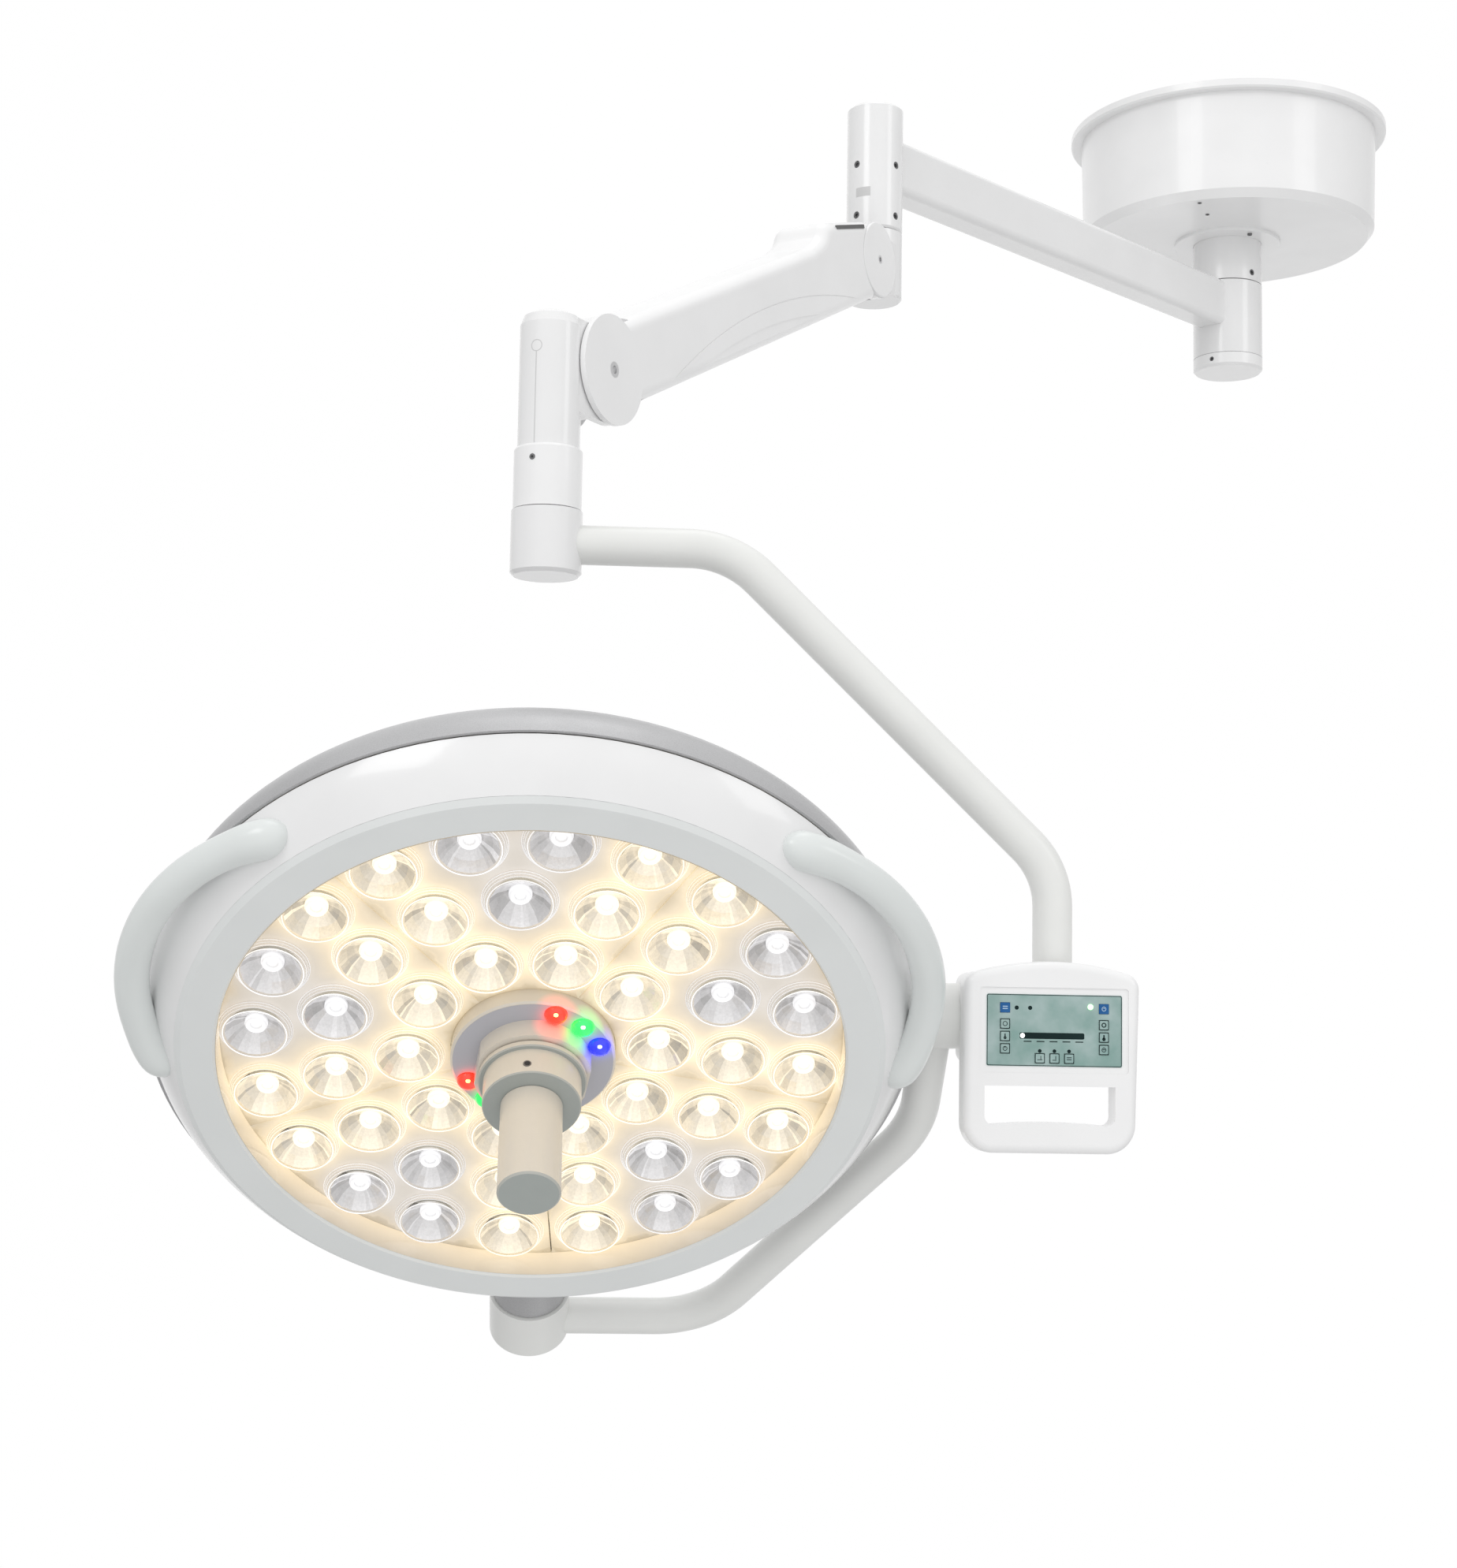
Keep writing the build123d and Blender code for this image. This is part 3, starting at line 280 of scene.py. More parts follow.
node_materials = {
    WHITE: ("suspension_tube", "extension_hub", "extension_beam", "end_tube", "upper_knuckle", "drop_knuckle",
            "yoke_collar", "front_housing"),
    WHITE_PLASTIC: ("canopy_left", "canopy_right", "canopy_rim", "canopy_collar", "hub_cap", "knuckle_covers",
                    "arm_shell_left", "arm_shell_right", "lock_sleeve", "panel_front", "panel_rear"),
    YOKE: ("upper_yoke_tube", "tilt_housing", "tilt_hub", "lower_yoke_tube", "bottom_hub"),
    BEVEL: ("bevel_ring",),
    COVER: ("rear_cover", "head_trunnion"),
    STEEL: ("arm_bearings", "upper_pivot_pin", "arm_core", "arm_spring", "lower_pivot_pin", "parallel_link"),
    ZINC: ("ceiling_plate",),
    SCREW: ("ceiling_screws", "brake_screws"),
    ALUMINIUM: ("power_supply", "heat_sink"),
    BOARD: ("panel_board", "lamp_boards"),
    HANDLE: ("focus_collar", "sterile_handle"),
    TEAL: ("panel_overlay",),
    KEY_BLUE: ("key_blue_left", "key_blue_right"),
    KEY_TEAL: tuple(f"key_{group}_{number}" for group in ("left", "right", "bottom") for number in (1, 2, 3)),
}


def dress(node, material):
    """Give a carried-over CAD node its material."""
    mesh = NODES[node].data
    mesh.materials.clear()
    mesh.materials.append(material)


for material, names in node_materials.items():
    for node in names:
        dress(node, material)


# ---------------------------------------------------------------- mesh pieces
class Shape:
    """Points and faces of one piece, in millimetres, with a glow colour at each point."""

    def __init__(self):
        self.points, self.faces, self.glow, self.finishes = [], [], [], []

    def add(self, points, faces, place=Matrix(), glow=(0, 0, 0), finish=0):
        """glow is one colour, or one for each point."""
        start = len(self.points)
        self.points += [place @ Vector(point) for point in points]
        self.faces += [[start + index for index in face] for face in faces]
        self.glow += list(glow) if isinstance(glow[0], (tuple, list)) else [glow] * len(points)
        self.finishes += [finish] * len(faces)

    def piece(self, name, place, body, slot, materials, crease=35):
        """Make the object, in the row frame, and let it ride on its body."""
        mesh = bpy.data.meshes.new(name)
        mesh.from_pydata([place @ (point * MM) for point in self.points], [], self.faces)
        for material in materials:
            mesh.materials.append(material)
        mesh.polygons.foreach_set("material_index", self.finishes)
        colours = mesh.attributes.new("glow", "FLOAT_COLOR", "POINT")
        colours.data.foreach_set("color", [value for colour in self.glow for value in (*colour, 1)])
        mesh.shade_smooth()
        mesh.set_sharp_from_angle(angle=radians(crease))
        made = bpy.data.objects.new(name, mesh)
        bpy.context.scene.collection.objects.link(made)
        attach(made, body)
        return made


def turned(profile, segments):
    """Points and faces of (radius, height) pairs turned about Z."""
    points, faces, rows = [], [], []
    for radius, height in profile:
        start = len(points)
        count = segments if radius > 0 else 1
        points += [(radius * cos(2 * pi * i / segments), radius * sin(2 * pi * i / segments), height)
                   for i in range(count)]
        rows.append(range(start, start + count))
    for low, high in zip(rows, rows[1:]):
        for i in range(segments):
            after = (i + 1) % segments
            corners = [low[i % len(low)], low[after % len(low)], high[after % len(high)], high[i % len(high)]]
            faces.append(list(dict.fromkeys(corners)))
    return points, faces


def shifted(x, y, z=0.0):
    return Matrix.Translation((x, y, z))


def slab(outline, low, high):
    """Points and faces of a flat plate with vertical sides."""
    count = len(outline)
    points = [(x, y, low) for x, y in outline] + [(x, y, high) for x, y in outline]
    sides = [[i, (i + 1) % count, count + (i + 1) % count, count + i] for i in range(count)]
    return points, [list(range(count))[::-1], list(range(count, 2 * count)), *sides]


def rounded(width, height, corner, steps=5):
    """Outline of a rectangle with round corners."""
    outline = []
    for quarter, (sx, sy) in enumerate(((1, 1), (-1, 1), (-1, -1), (1, -1))):
        for step in range(steps + 1):
            angle = (quarter + step / steps) * pi / 2
            outline.append((sx * (width / 2 - corner) + corner * cos(angle),
                            sy * (height / 2 - corner) + corner * sin(angle)))
    return outline


def frame_slab(outer, inner, low, high):
    """Points and faces of a flat ring between two outlines of equal count."""
    count = len(outer)
    points = [(x, y, z) for z in (low, high) for outline in (outer, inner) for x, y in outline]
    faces = []
    low_out, low_in, high_out, high_in = (k * count for k in range(4))
    for i in range(count):
        j = (i + 1) % count
        faces += [[high_out + i, high_out + j, high_in + j, high_in + i],
                  [low_out + j, low_out + i, low_in + i, low_in + j],
                  [low_out + i, low_out + j, high_out + j, high_out + i],
                  [high_in + i, high_in + j, low_in + j, low_in + i]]
    return points, faces


def circle(radius, segments, x=0.0, y=0.0):
    return [(x + radius * cos(2 * pi * i / segments), y + radius * sin(2 * pi * i / segments))
            for i in range(segments)]


# ---------------------------------------------------------------- lens field
RING_ROWS = ((100.7, 10, "w"), (161.0, 15, "wcw"), (220.7, 20, "wccw"))
MODULE_TURN = radians(4.3)
PLATE_FACE = 46
PLATE_EDGE = 249.3
PLATE_EYE = 66.4
WARM = (1.0, 0.86, 0.62)
COOL = (0.96, 0.955, 0.985)


def lens_places():
    """(x, y, warm) of each lens in the head's frame."""
    places = []
    for radius, count, tones in RING_ROWS:
        for index in range(count):
            angle = MODULE_TURN - pi / 2 + (index + 0.5) * 2 * pi / count
            places.append((radius * cos(angle), radius * sin(angle), tones[index % len(tones)] == "w"))
    return places


LENSES = lens_places()
LENS_HOLE = 21.8
SEAM_HALF_WIDTH = 0.5
# Painted light on the plate: an even glow everywhere, and warm and cool spill round each lens.
PLATE_PAINTED_GLOW = (0.25, 0.205, 0.13)
WARM_SPILL = ((0.27, 0.225, 0.15), (0.10, 0.072, 0.035))
COOL_SPILL = ((0.08, 0.09, 0.11), (0.05, 0.055, 0.07))
SKIRT_REACH = 29.8


def plate_glow(x, y):
    """Painted light: the glow that the lit lenses cast on the plate at a point."""
    colour = Vector(PLATE_PAINTED_GLOW)
    for lens_x, lens_y, warm in LENSES:
        distance = max(0.0, hypot(x - lens_x, y - lens_y) - SKIRT_REACH + 3)
        if distance < 50:
            near, wide = WARM_SPILL if warm else COOL_SPILL
            colour += Vector(near) * exp(-(distance / 9) ** 2) + Vector(wide) * exp(-distance / 18)
    return tuple(colour)


def make_lens_plate():
    """The five wedge carriers: a plate with a hole under each lens and a fine seam between the wedges."""
    points, edges = [], []

    def loop(outline):
        start = len(points)
        points.extend(Vector(point) for point in outline)
        edges.extend((start + i, start + (i + 1) % len(outline)) for i in range(len(outline)))

    loop(circle(PLATE_EDGE, 180))
    loop(circle(PLATE_EYE, 72))
    for x, y, _ in LENSES:
        loop(circle(LENS_HOLE, 28, x, y))
    seams = [MODULE_TURN - pi / 2 + k * 2 * pi / 5 for k in range(5)]
    for seam in seams:
        out, across = Vector((cos(seam), sin(seam))), Vector((-sin(seam), cos(seam)))
        for side in (-SEAM_HALF_WIDTH, SEAM_HALF_WIDTH):
            start = len(points)
            steps = 24
            for step in range(steps + 1):
                radius = PLATE_EYE + 0.5 + (PLATE_EDGE - PLATE_EYE - 1) * step / steps
                points.append(out * radius + across * side)
            edges.extend((start + step, start + step + 1) for step in range(steps))
    for x, y, _ in LENSES:
        for radius in (24, 27, 29, 31.5, 34):
            for px, py in circle(radius, 24, x, y):
                clear_of_lenses = all(hypot(px - a, py - b) > radius - 0.5 for a, b, _ in LENSES)
                if clear_of_lenses and PLATE_EYE + 2 < hypot(px, py) < PLATE_EDGE - 2:
                    points.append(Vector((px, py)))
    made, _, triangles, *_ = delaunay_2d_cdt(points, edges, [], 0, 1e-4)
    kept = []
    for triangle in triangles:
        centre = sum((made[i] for i in triangle), Vector((0, 0))) / 3
        reach = centre.length
        in_hole = any(hypot(centre.x - x, centre.y - y) < LENS_HOLE * 0.99 for x, y, _ in LENSES)
        in_seam = any(abs(centre.x * -sin(seam) + centre.y * cos(seam)) < SEAM_HALF_WIDTH * 0.9
                      and centre.x * cos(seam) + centre.y * sin(seam) > 0 for seam in seams)
        if PLATE_EYE < reach < PLATE_EDGE and not in_hole and not in_seam:
            kept.append(list(triangle))
    shape = Shape()
    # The plate's points carry the lenses' painted light as glow.
    shape.add([(v.x, v.y, PLATE_FACE) for v in made], kept, glow=[plate_glow(v.x, v.y) for v in made])
    piece = shape.piece("lens_plate", HEAD, "head", "module_cream", [PLATE])
    thick = piece.modifiers.new("thickness", "SOLIDIFY")
    thick.thickness = 2.6 * MM
    thick.offset = -1
    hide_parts("lens_modules")


STEPPED_SKIRT = [(29.8, 0.1), (29.5, 1.3), (28.6, 1.6), (28.3, 3.0), (27.4, 3.3), (27.0, 4.9), (26.0, 5.3),
                 (25.6, 6.9), (24.9, 7.4), (24.0, 7.1), (23.6, 6.2)]
SKIRT_HIGHLIGHTS = ((29.7, 1.3, 0.28), (28.5, 3.0, 0.24), (27.2, 4.9, 0.26), (25.2, 7.3, 0.5))
INNER_WALL = [(23.6, 6.2), (18.2, -1.4), (9.2, -7.8)]
INNER_DOME = [(9.2, -7.8), (9.1, -4.6), (8.3, -2.6), (7.0, -1.7), (5.4, -1.9), (4.8, -4.4), (2.6, -5.2), (0, -5.3)]
DOME_LEVELS = (0.4, 0.95, 0.62, 0.8, 0.9, 0.28, 0.8, 2.4)
FACETS = 26
THIN_FACET = 0.13
COOL_LEVEL = 0.62
DOME_SEGMENTS = 28


def torus(radius, height, line, segments=48, around=6):
    """Points and faces of a thin round bead."""
    points = [((radius + line * cos(2 * pi * j / around)) * cos(2 * pi * i / segments),
               (radius + line * cos(2 * pi * j / around)) * sin(2 * pi * i / segments),
               height + line * sin(2 * pi * j / around)) for i in range(segments) for j in range(around)]
    faces = [[i * around + j, (i + 1) % segments * around + j, (i + 1) % segments * around + (j + 1) % around,
              i * around + (j + 1) % around] for i in range(segments) for j in range(around)]
    return points, faces


def make_lenses():
    """45 stepped clear lens bodies, each with a faceted inner wall, a lit dome over its LED and glowing beads on its
    steps that are painted highlights.
    """
    chance = Random(7)
    shells, step_highlights, walls, domes = Shape(), Shape(), Shape(), Shape()
    for x, y, warm in LENSES:
        tone = WARM if warm else COOL
        lit = 1.0 if warm else COOL_LEVEL
        spot = shifted(x, y, PLATE_FACE)
        shells.add(*turned(STEPPED_SKIRT, 56), place=spot)
        # Painted highlights: thin glowing beads along the skirt's steps, brightest at the rim.
        for radius, height, line in SKIRT_HIGHLIGHTS:
            level = 0.5 + 0.35 * chance.random() + (0.35 if radius < 26 else 0)
            step_highlights.add(*torus(radius, height, line), place=spot, glow=tuple(c * level * lit for c in tone))
        cuts = [0.0]
        while cuts[-1] < 2 * pi - 0.16:
            cuts.append(cuts[-1] + 2 * pi / FACETS * (0.35 + 1.3 * chance.random()))
        cuts[-1] = 2 * pi
        # Painted reflections and shade: facets towards the head's top and bottom glow brighter, random darker streaks
        # lie to the sides, and thin facets are painted as bright glints.
        for first, last in zip(cuts, cuts[1:]):
            middle = (first + last) / 2
            sideways = abs(cos(middle)) ** 1.5
            upward = max(0.0, sin(middle)) ** 3
            downward = max(0.0, -sin(middle)) ** 2
            dark = 0.66 - 0.5 * sideways * chance.random() + 0.3 * upward + 0.14 * downward
            level = 0.9 if last - first < THIN_FACET else dark
            rows = [(*INNER_WALL[0], level * 0.95), (*INNER_WALL[1], level * 0.8), (*INNER_WALL[2], level * 0.72)]
            corners = [(r * cos(a), r * sin(a), h) for r, h, _ in rows for a in (first, last)]
            glow = [tuple(c * shade * lit for c in tone) for _, _, shade in rows for _ in range(2)]
            walls.add(corners, [[0, 1, 3, 2], [2, 3, 5, 4]], place=spot, glow=glow)
        points, faces = turned(INNER_DOME, DOME_SEGMENTS)
        glow = []
        for (radius, _), level in zip(INNER_DOME, DOME_LEVELS):
            glow += [tuple(c * level * lit for c in tone)] * (DOME_SEGMENTS if radius > 0 else 1)
        domes.add(points, faces, place=spot, glow=glow)
    shell = shells.piece("lens_shells", HEAD, "head", "lens_clear", [LENS_CLEAR], crease=60)
    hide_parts("lenses")
    step_highlights.piece("lens_step_highlights", HEAD, "head", "lens_clear", [STEP_HIGHLIGHT_GLOW], crease=80)
    walls.piece("lens_facets", HEAD, "head", "lens_clear", [LENS_FACETS], crease=14)
    domes.piece("lens_cores", HEAD, "head", "lens_clear", [LENS_LIGHT], crease=60)


make_lens_plate()
make_lenses()

# ---------------------------------------------------------------- small pieces of the arm
DROP_RADIUS, SLEEVE_RADIUS, END_TUBE_RADIUS = 26.3, 28.8, 30
GROOVE_SIDE, LABEL_SIDE = -117, -122
GROOVE_TOP, GROOVE_FOOT, GROOVE_EYE = -607, -685, -602
SLEEVE_SCREW_HEIGHT = -697
LABEL_LOW, LABEL_HIGH = -274.6, -264.6
SUNK = -0.3
HOOD_SLOT = [(26, 36.5), (92, 45.5), (92, 49.5), (26, 40.5)]
HOOD_SLOT_INNER, HOOD_SLOT_OUTER = 30, 32.12


def wrapped(joint, degrees, radius, tiles, low, high, shape=None, finish=0):
    """Small tiles (distance round the tube, height) laid on a vertical tube about a joint's axis.

    low and high are lifts off the tube's surface. The tiles are added to shape, if one is given.
    """
    axis = Vector(JOINTS[joint]["pos_m"]) / MM
    shape = shape or Shape()
    for tile in tiles:
        points, faces = slab(tile, low, high)
        bent = []
        for across, height, lift in points:
            angle, reach = radians(degrees) + across / radius, radius + lift
            bent.append((axis.x + reach * cos(angle), axis.y + reach * sin(angle), height))
        shape.add(bent, faces, finish=finish)
    return shape


def oblong(left, right, low, high):
    return [(left, low), (right, low), (right, high), (left, high)]


def make_drop_groove():
    """Groove with a round end down the drop tube, drawn as a grey strip of painted shade, and the grub screw below it
    on the lock sleeve.
    """
    turns = [2 * pi * i / 20 for i in range(21)]
    hoop = [[(r * cos(a), r * sin(a) + GROOVE_EYE) for r, a in ((4.4, a), (5.2, a), (5.2, b), (4.4, b))]
            for a, b in zip(turns, turns[1:])]
    groove = wrapped("yoke_swing", GROOVE_SIDE, DROP_RADIUS, [oblong(-0.45, 0.45, GROOVE_FOOT, GROOVE_TOP), *hoop],
                     SUNK, 0.06)
    # The groove's grey is painted shade.
    groove.piece("drop_groove", Matrix(), "drop", "white_paint", [GROOVE_SHADE_AND_LABEL_GREY])
    disc = [[(2.6 * cos(a), 2.6 * sin(a) + SLEEVE_SCREW_HEIGHT) for a in turns[:-1]]]
    pit = [[(1.2 * cos(a), 1.2 * sin(a) + SLEEVE_SCREW_HEIGHT) for a in turns[:-1:3]]]
    screw = wrapped("yoke_swing", GROOVE_SIDE, SLEEVE_RADIUS, disc, SUNK, 0.3)
    wrapped("yoke_swing", GROOVE_SIDE, SLEEVE_RADIUS, pit, 0.25, 0.38, screw, finish=1)
    screw.piece("sleeve_screw", Matrix(), "drop", "screw_steel", [SCREW, SHADOW])


def make_tube_label():
    """Blank label on the end tube, in strips so that it follows the curve."""
    strips = [oblong(-8.5 + 1.7 * i, -6.8 + 1.7 * i, LABEL_LOW, LABEL_HIGH) for i in range(10)]
    label = wrapped("arm_swing", LABEL_SIDE, END_TUBE_RADIUS, strips, SUNK, 0.12)
    label.piece("tube_label", Matrix(), "extension", "white_paint", [GROOVE_SHADE_AND_LABEL_GREY])


def make_hood_slots():
    """Dark sheet along each side of the spring arm's hood: painted shade standing for a slot."""
    slots = Shape()
    for side in (1, -1):
        points, faces = slab(HOOD_SLOT, HOOD_SLOT_INNER * side, HOOD_SLOT_OUTER * side)
        slots.add(points, faces if side > 0 else [face[::-1] for face in faces])
    # The dark finish is painted shade of a slot.
    slots.piece("hood_slots", ARM, "spring_arm", "white_plastic", [SLOT_PAINTED_SHADE])


make_drop_groove()
make_tube_label()
make_hood_slots()

# ---------------------------------------------------------------- ring lights, grub screw and plate skirt
RING_LIGHTS = ((20, "blue"), (46, "green"), (72, "red"), (203, "red"), (229, "green"), (255, "blue"))
LIGHT_TONES = {"red": (1.0, 0.03, 0.01), "green": (0.02, 0.85, 0.12), "blue": (0.01, 0.02, 0.95)}
CORE_TONES = {"red": (2.2, 1.7, 0.1), "green": (1.2, 2.2, 1.3), "blue": (0.9, 1.2, 2.2)}
CENTRE_FACE = 61
RING_LIGHT_REACH = 56
RING_DOME = [(9.4, 0.1), (9.3, 1.2), (8.4, 3.2), (6.4, 5.0), (3.4, 6.1), (0, 6.4)]
RING_CORE = [(2.8, 4.0), (2.6, 5.2), (1.4, 6.0), (0, 6.2)]
HALO_INNER, HALO_OUTER = 40, 64


def ring_light_place(angle):
    """x and y of a ring light in the head's frame."""
    return RING_LIGHT_REACH * cos(radians(angle)), RING_LIGHT_REACH * sin(radians(angle))


def centre_plastic():
    """Cream plastic with the ring lights' light painted on it as emission close to each light."""
    shader = Shader("centre_cream")
    place = shader.place()
    painted_ring_light = (0, 0, 0)
    # Painted light: each ring light's colour is painted as emission near it.
    for angle, tone in RING_LIGHTS:
        spot = HEAD @ (Vector((*ring_light_place(angle), CENTRE_FACE + 4)) * MM)
        share = shader.span(shader.compare("DISTANCE", place, spot), 1, 0, start=8 * MM, end=21 * MM)
        painted_ring_light = shader.blend(share, painted_ring_light, [0.8 * c for c in LIGHT_TONES[tone]])
    patches = shader.noise(30, detail=4)
    surface = shader.node(
        "ShaderNodeBsdfPrincipled", Base_Color=shader.blend(patches, (0.70, 0.65, 0.57), (0.76, 0.71, 0.63)),
        Roughness=shader.span(shader.noise(12, detail=4), 0.24, 0.36), Coat_Weight=0.3, Emission_Color=painted_ring_light,
        Emission_Strength=1.0, Normal=shader.bump(shader.noise(1.2, detail=3), 0.12, 0.1))
    return shader.finish(surface.outputs["BSDF"])


dress("centre_housing", centre_plastic())


def coloured_dome(name):
    """Tinted dome lit from inside."""
    tone = LIGHT_TONES[name]
    shader = Shader(f"ring_light_{name}")
    surface = shader.node(
        "ShaderNodeBsdfPrincipled", Base_Color=(*tone, 1), Roughness=0.08, Coat_Weight=1.0,
        Emission_Color=(*tone, 1), Emission_Strength=shader.span(shader.noise(4, detail=1), 0.6, 1.1))
    return shader.finish(surface.outputs["BSDF"])


def make_ring_lights():
    """Three colours of small domes, twice each, with their bright cores."""
    tones = sorted(LIGHT_TONES)
    domes, cores = Shape(), Shape()
    for angle, tone in RING_LIGHTS:
        spot = shifted(*ring_light_place(angle), CENTRE_FACE)
        domes.add(*turned(RING_DOME, 28), place=spot, finish=tones.index(tone))
        cores.add(*turned(RING_CORE, 16), place=spot @ Matrix.Translation((0, 3.6, 0)), glow=CORE_TONES[tone])
    piece = domes.piece("ring_light_domes", HEAD, "head", "rgb_lens", [coloured_dome(tone) for tone in tones])
    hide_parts("rgb_lenses")
    cores.piece("ring_light_cores", HEAD, "head", "rgb_lens", [LENS_LIGHT], crease=60)


def ring_light_painted_glow(x, y):
    """Painted light: the glow that the ring lights cast on the centre's grey face at a point."""
    colour = [0.0, 0.0, 0.0]
    for angle, tone in RING_LIGHTS:
        light_x, light_y = ring_light_place(angle)
        share = exp(-(max(0.0, hypot(x - light_x, y - light_y) - 6) / 6.5) ** 2)
        colour = [c + 0.85 * share * t for c, t in zip(colour, LIGHT_TONES[tone])]
    return tuple(colour)


def make_centre_face():
    """Grey ring round the focus grip, with the ring lights' light painted on it as glow."""
    points, faces = [], []
    rings, steps = 10, 180
    for row in range(rings + 1):
        radius = HALO_INNER + (HALO_OUTER - HALO_INNER) * row / rings
        for step in range(steps):
            angle = 2 * pi * step / steps
            points.append((radius * cos(angle), radius * sin(angle), CENTRE_FACE + 0.06))
    for row in range(rings):
        for step in range(steps):
            after = (step + 1) % steps
            faces.append([row * steps + step, (row + 1) * steps + step, (row + 1) * steps + after,
                          row * steps + after])
    shader = Shader("centre_face_grey")
    surface = shader.node(
        "ShaderNodeBsdfPrincipled", Base_Color=(0.50, 0.50, 0.54, 1), Roughness=0.3,
        Emission_Color=shader.glow(), Emission_Strength=shader.span(shader.noise(5), 0.5, 0.9))
    shape = Shape()
    # Painted light from the ring lights, stored as glow at the points.
    shape.add(points, faces, glow=[ring_light_painted_glow(x, y) for x, y, _ in points])
    shape.piece("centre_face", HEAD, "head", "centre_cream", [shader.finish(surface.outputs["BSDF"])])


COLLAR_SCREW = Vector((-4, 38.8, 101))


def make_collar_screw():
    """Recessed grub screw in the focus collar, on the side towards the head's top."""
    seat = HEAD @ Matrix.Translation(COLLAR_SCREW * MM) @ Matrix.Rotation(-pi / 2, 4, "X")
    shape = Shape()
    shape.add(*turned([(3.3, -0.4), (3.2, 0.3), (2.8, 0.42), (2.3, 0.34)], 24))
    shape.add(*turned([(2.3, 0.34), (1.2, 0.24), (0, 0.22)], 24), finish=1)
    shape.piece("collar_screw", seat, "focus", "screw_steel", [SCREW, SHADOW])


def make_plate_skirt():
    """Inner wall between the lens plate and the bevel ring, glowing with painted light that fades towards the bevel."""
    shape = Shape()
    reach, tone, segments = 249.1, Vector((0.62, 0.5, 0.33)), 180
    profile = [(reach, PLATE_FACE + 0.2), (reach - 0.3, PLATE_FACE + 8), (reach - 0.3, 63), (reach, 70.2)]
    points, faces = turned(profile, segments)
    glow = []
    # Painted light in place of the shade on this wall, fading with height.
    for _, height in profile:
        glow += [tuple(tone * (1 - 0.6 * (height - PLATE_FACE) / 25))] * segments
    shape.add(points, [face[::-1] for face in faces], glow=glow)
    shape.piece("plate_skirt", HEAD, "head", "module_cream", [PLATE])


make_ring_lights()
make_centre_face()
make_collar_screw()
make_plate_skirt()


# ---------------------------------------------------------------- side handles
BOW_TOP, BOW_FOOT = 51, -5
BOW_ROOT, BOW_REACH = 287, 324
BOW_TUBE = 13.6
BOW_HEIGHT, BOW_DIP = 53, 4
BOW_CAP = 20
BOW_FLARE, FLARE_PLACE, FLARE_SPREAD = 0.16, 24, 22


def make_side_handle(side):
    """A bow whose two rounded ends widen and sink into the head's white wall."""
    name = "right" if side > 0 else "left"
    steps, segments = 84, 32
    centres = []
    for step in range(steps + 1):
        share = step / steps
        angle = radians(BOW_TOP + (BOW_FOOT - BOW_TOP) * share)
        bow = sin(pi * share) ** 0.75
        radius = BOW_ROOT + (BOW_REACH - BOW_ROOT) * bow
        centres.append(Vector((radius * cos(angle), radius * sin(angle), BOW_HEIGHT - BOW_DIP * bow)))
    lengths = [0.0]
    for before, after in zip(centres, centres[1:]):
        lengths.append(lengths[-1] + (after - before).length)
    points, faces = [], []
    for step, centre in enumerate(centres):
        along = (centres[min(step + 1, steps)] - centres[max(step - 1, 0)]).normalized()
        across = along.cross(Vector((0, 0, 1))).normalized()
        rise = across.cross(along)
        from_end = min(lengths[step], lengths[-1] - lengths[step])
        cap = max(0.04, 1 - max(0.0, 1 - from_end / BOW_CAP) ** 2) ** 0.5
        flare = 1 + BOW_FLARE * exp(-((from_end - FLARE_PLACE) / FLARE_SPREAD) ** 2)
        for index in range(segments):
            angle = 2 * pi * index / segments
            point = centre + (across * cos(angle) + rise * sin(angle)) * BOW_TUBE * cap * flare
            points.append((side * point.x, point.y, point.z))
    for step in range(steps):
        for index in range(segments):
            after = (index + 1) % segments
            quad = [step * segments + index, step * segments + after, (step + 1) * segments + after,
                    (step + 1) * segments + index]
            faces.append(quad if side > 0 else quad[::-1])
    first_end = list(range(segments))
    last_end = list(range(steps * segments, (steps + 1) * segments))
    faces += [first_end[::-1], last_end] if side > 0 else [first_end, last_end[::-1]]
    shape = Shape()
    shape.add(points, faces)
    piece = shape.piece(f"side_bow_{name}", HEAD, "head", "handle_white", [GRIP], crease=60)
    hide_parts(f"side_handle_{name}")


for side in (1, -1):
    make_side_handle(side)

# ---------------------------------------------------------------- control panel print
PRINT_LIFT = 0.12
BOTTOM_KEYS = (-12, 0, 12)
STATUS_ROW = -4.4
SCALE_MARKS, SCALE_START, SCALE_STEP, SCALE_ROW = 5, -22, 10.6, -9.0


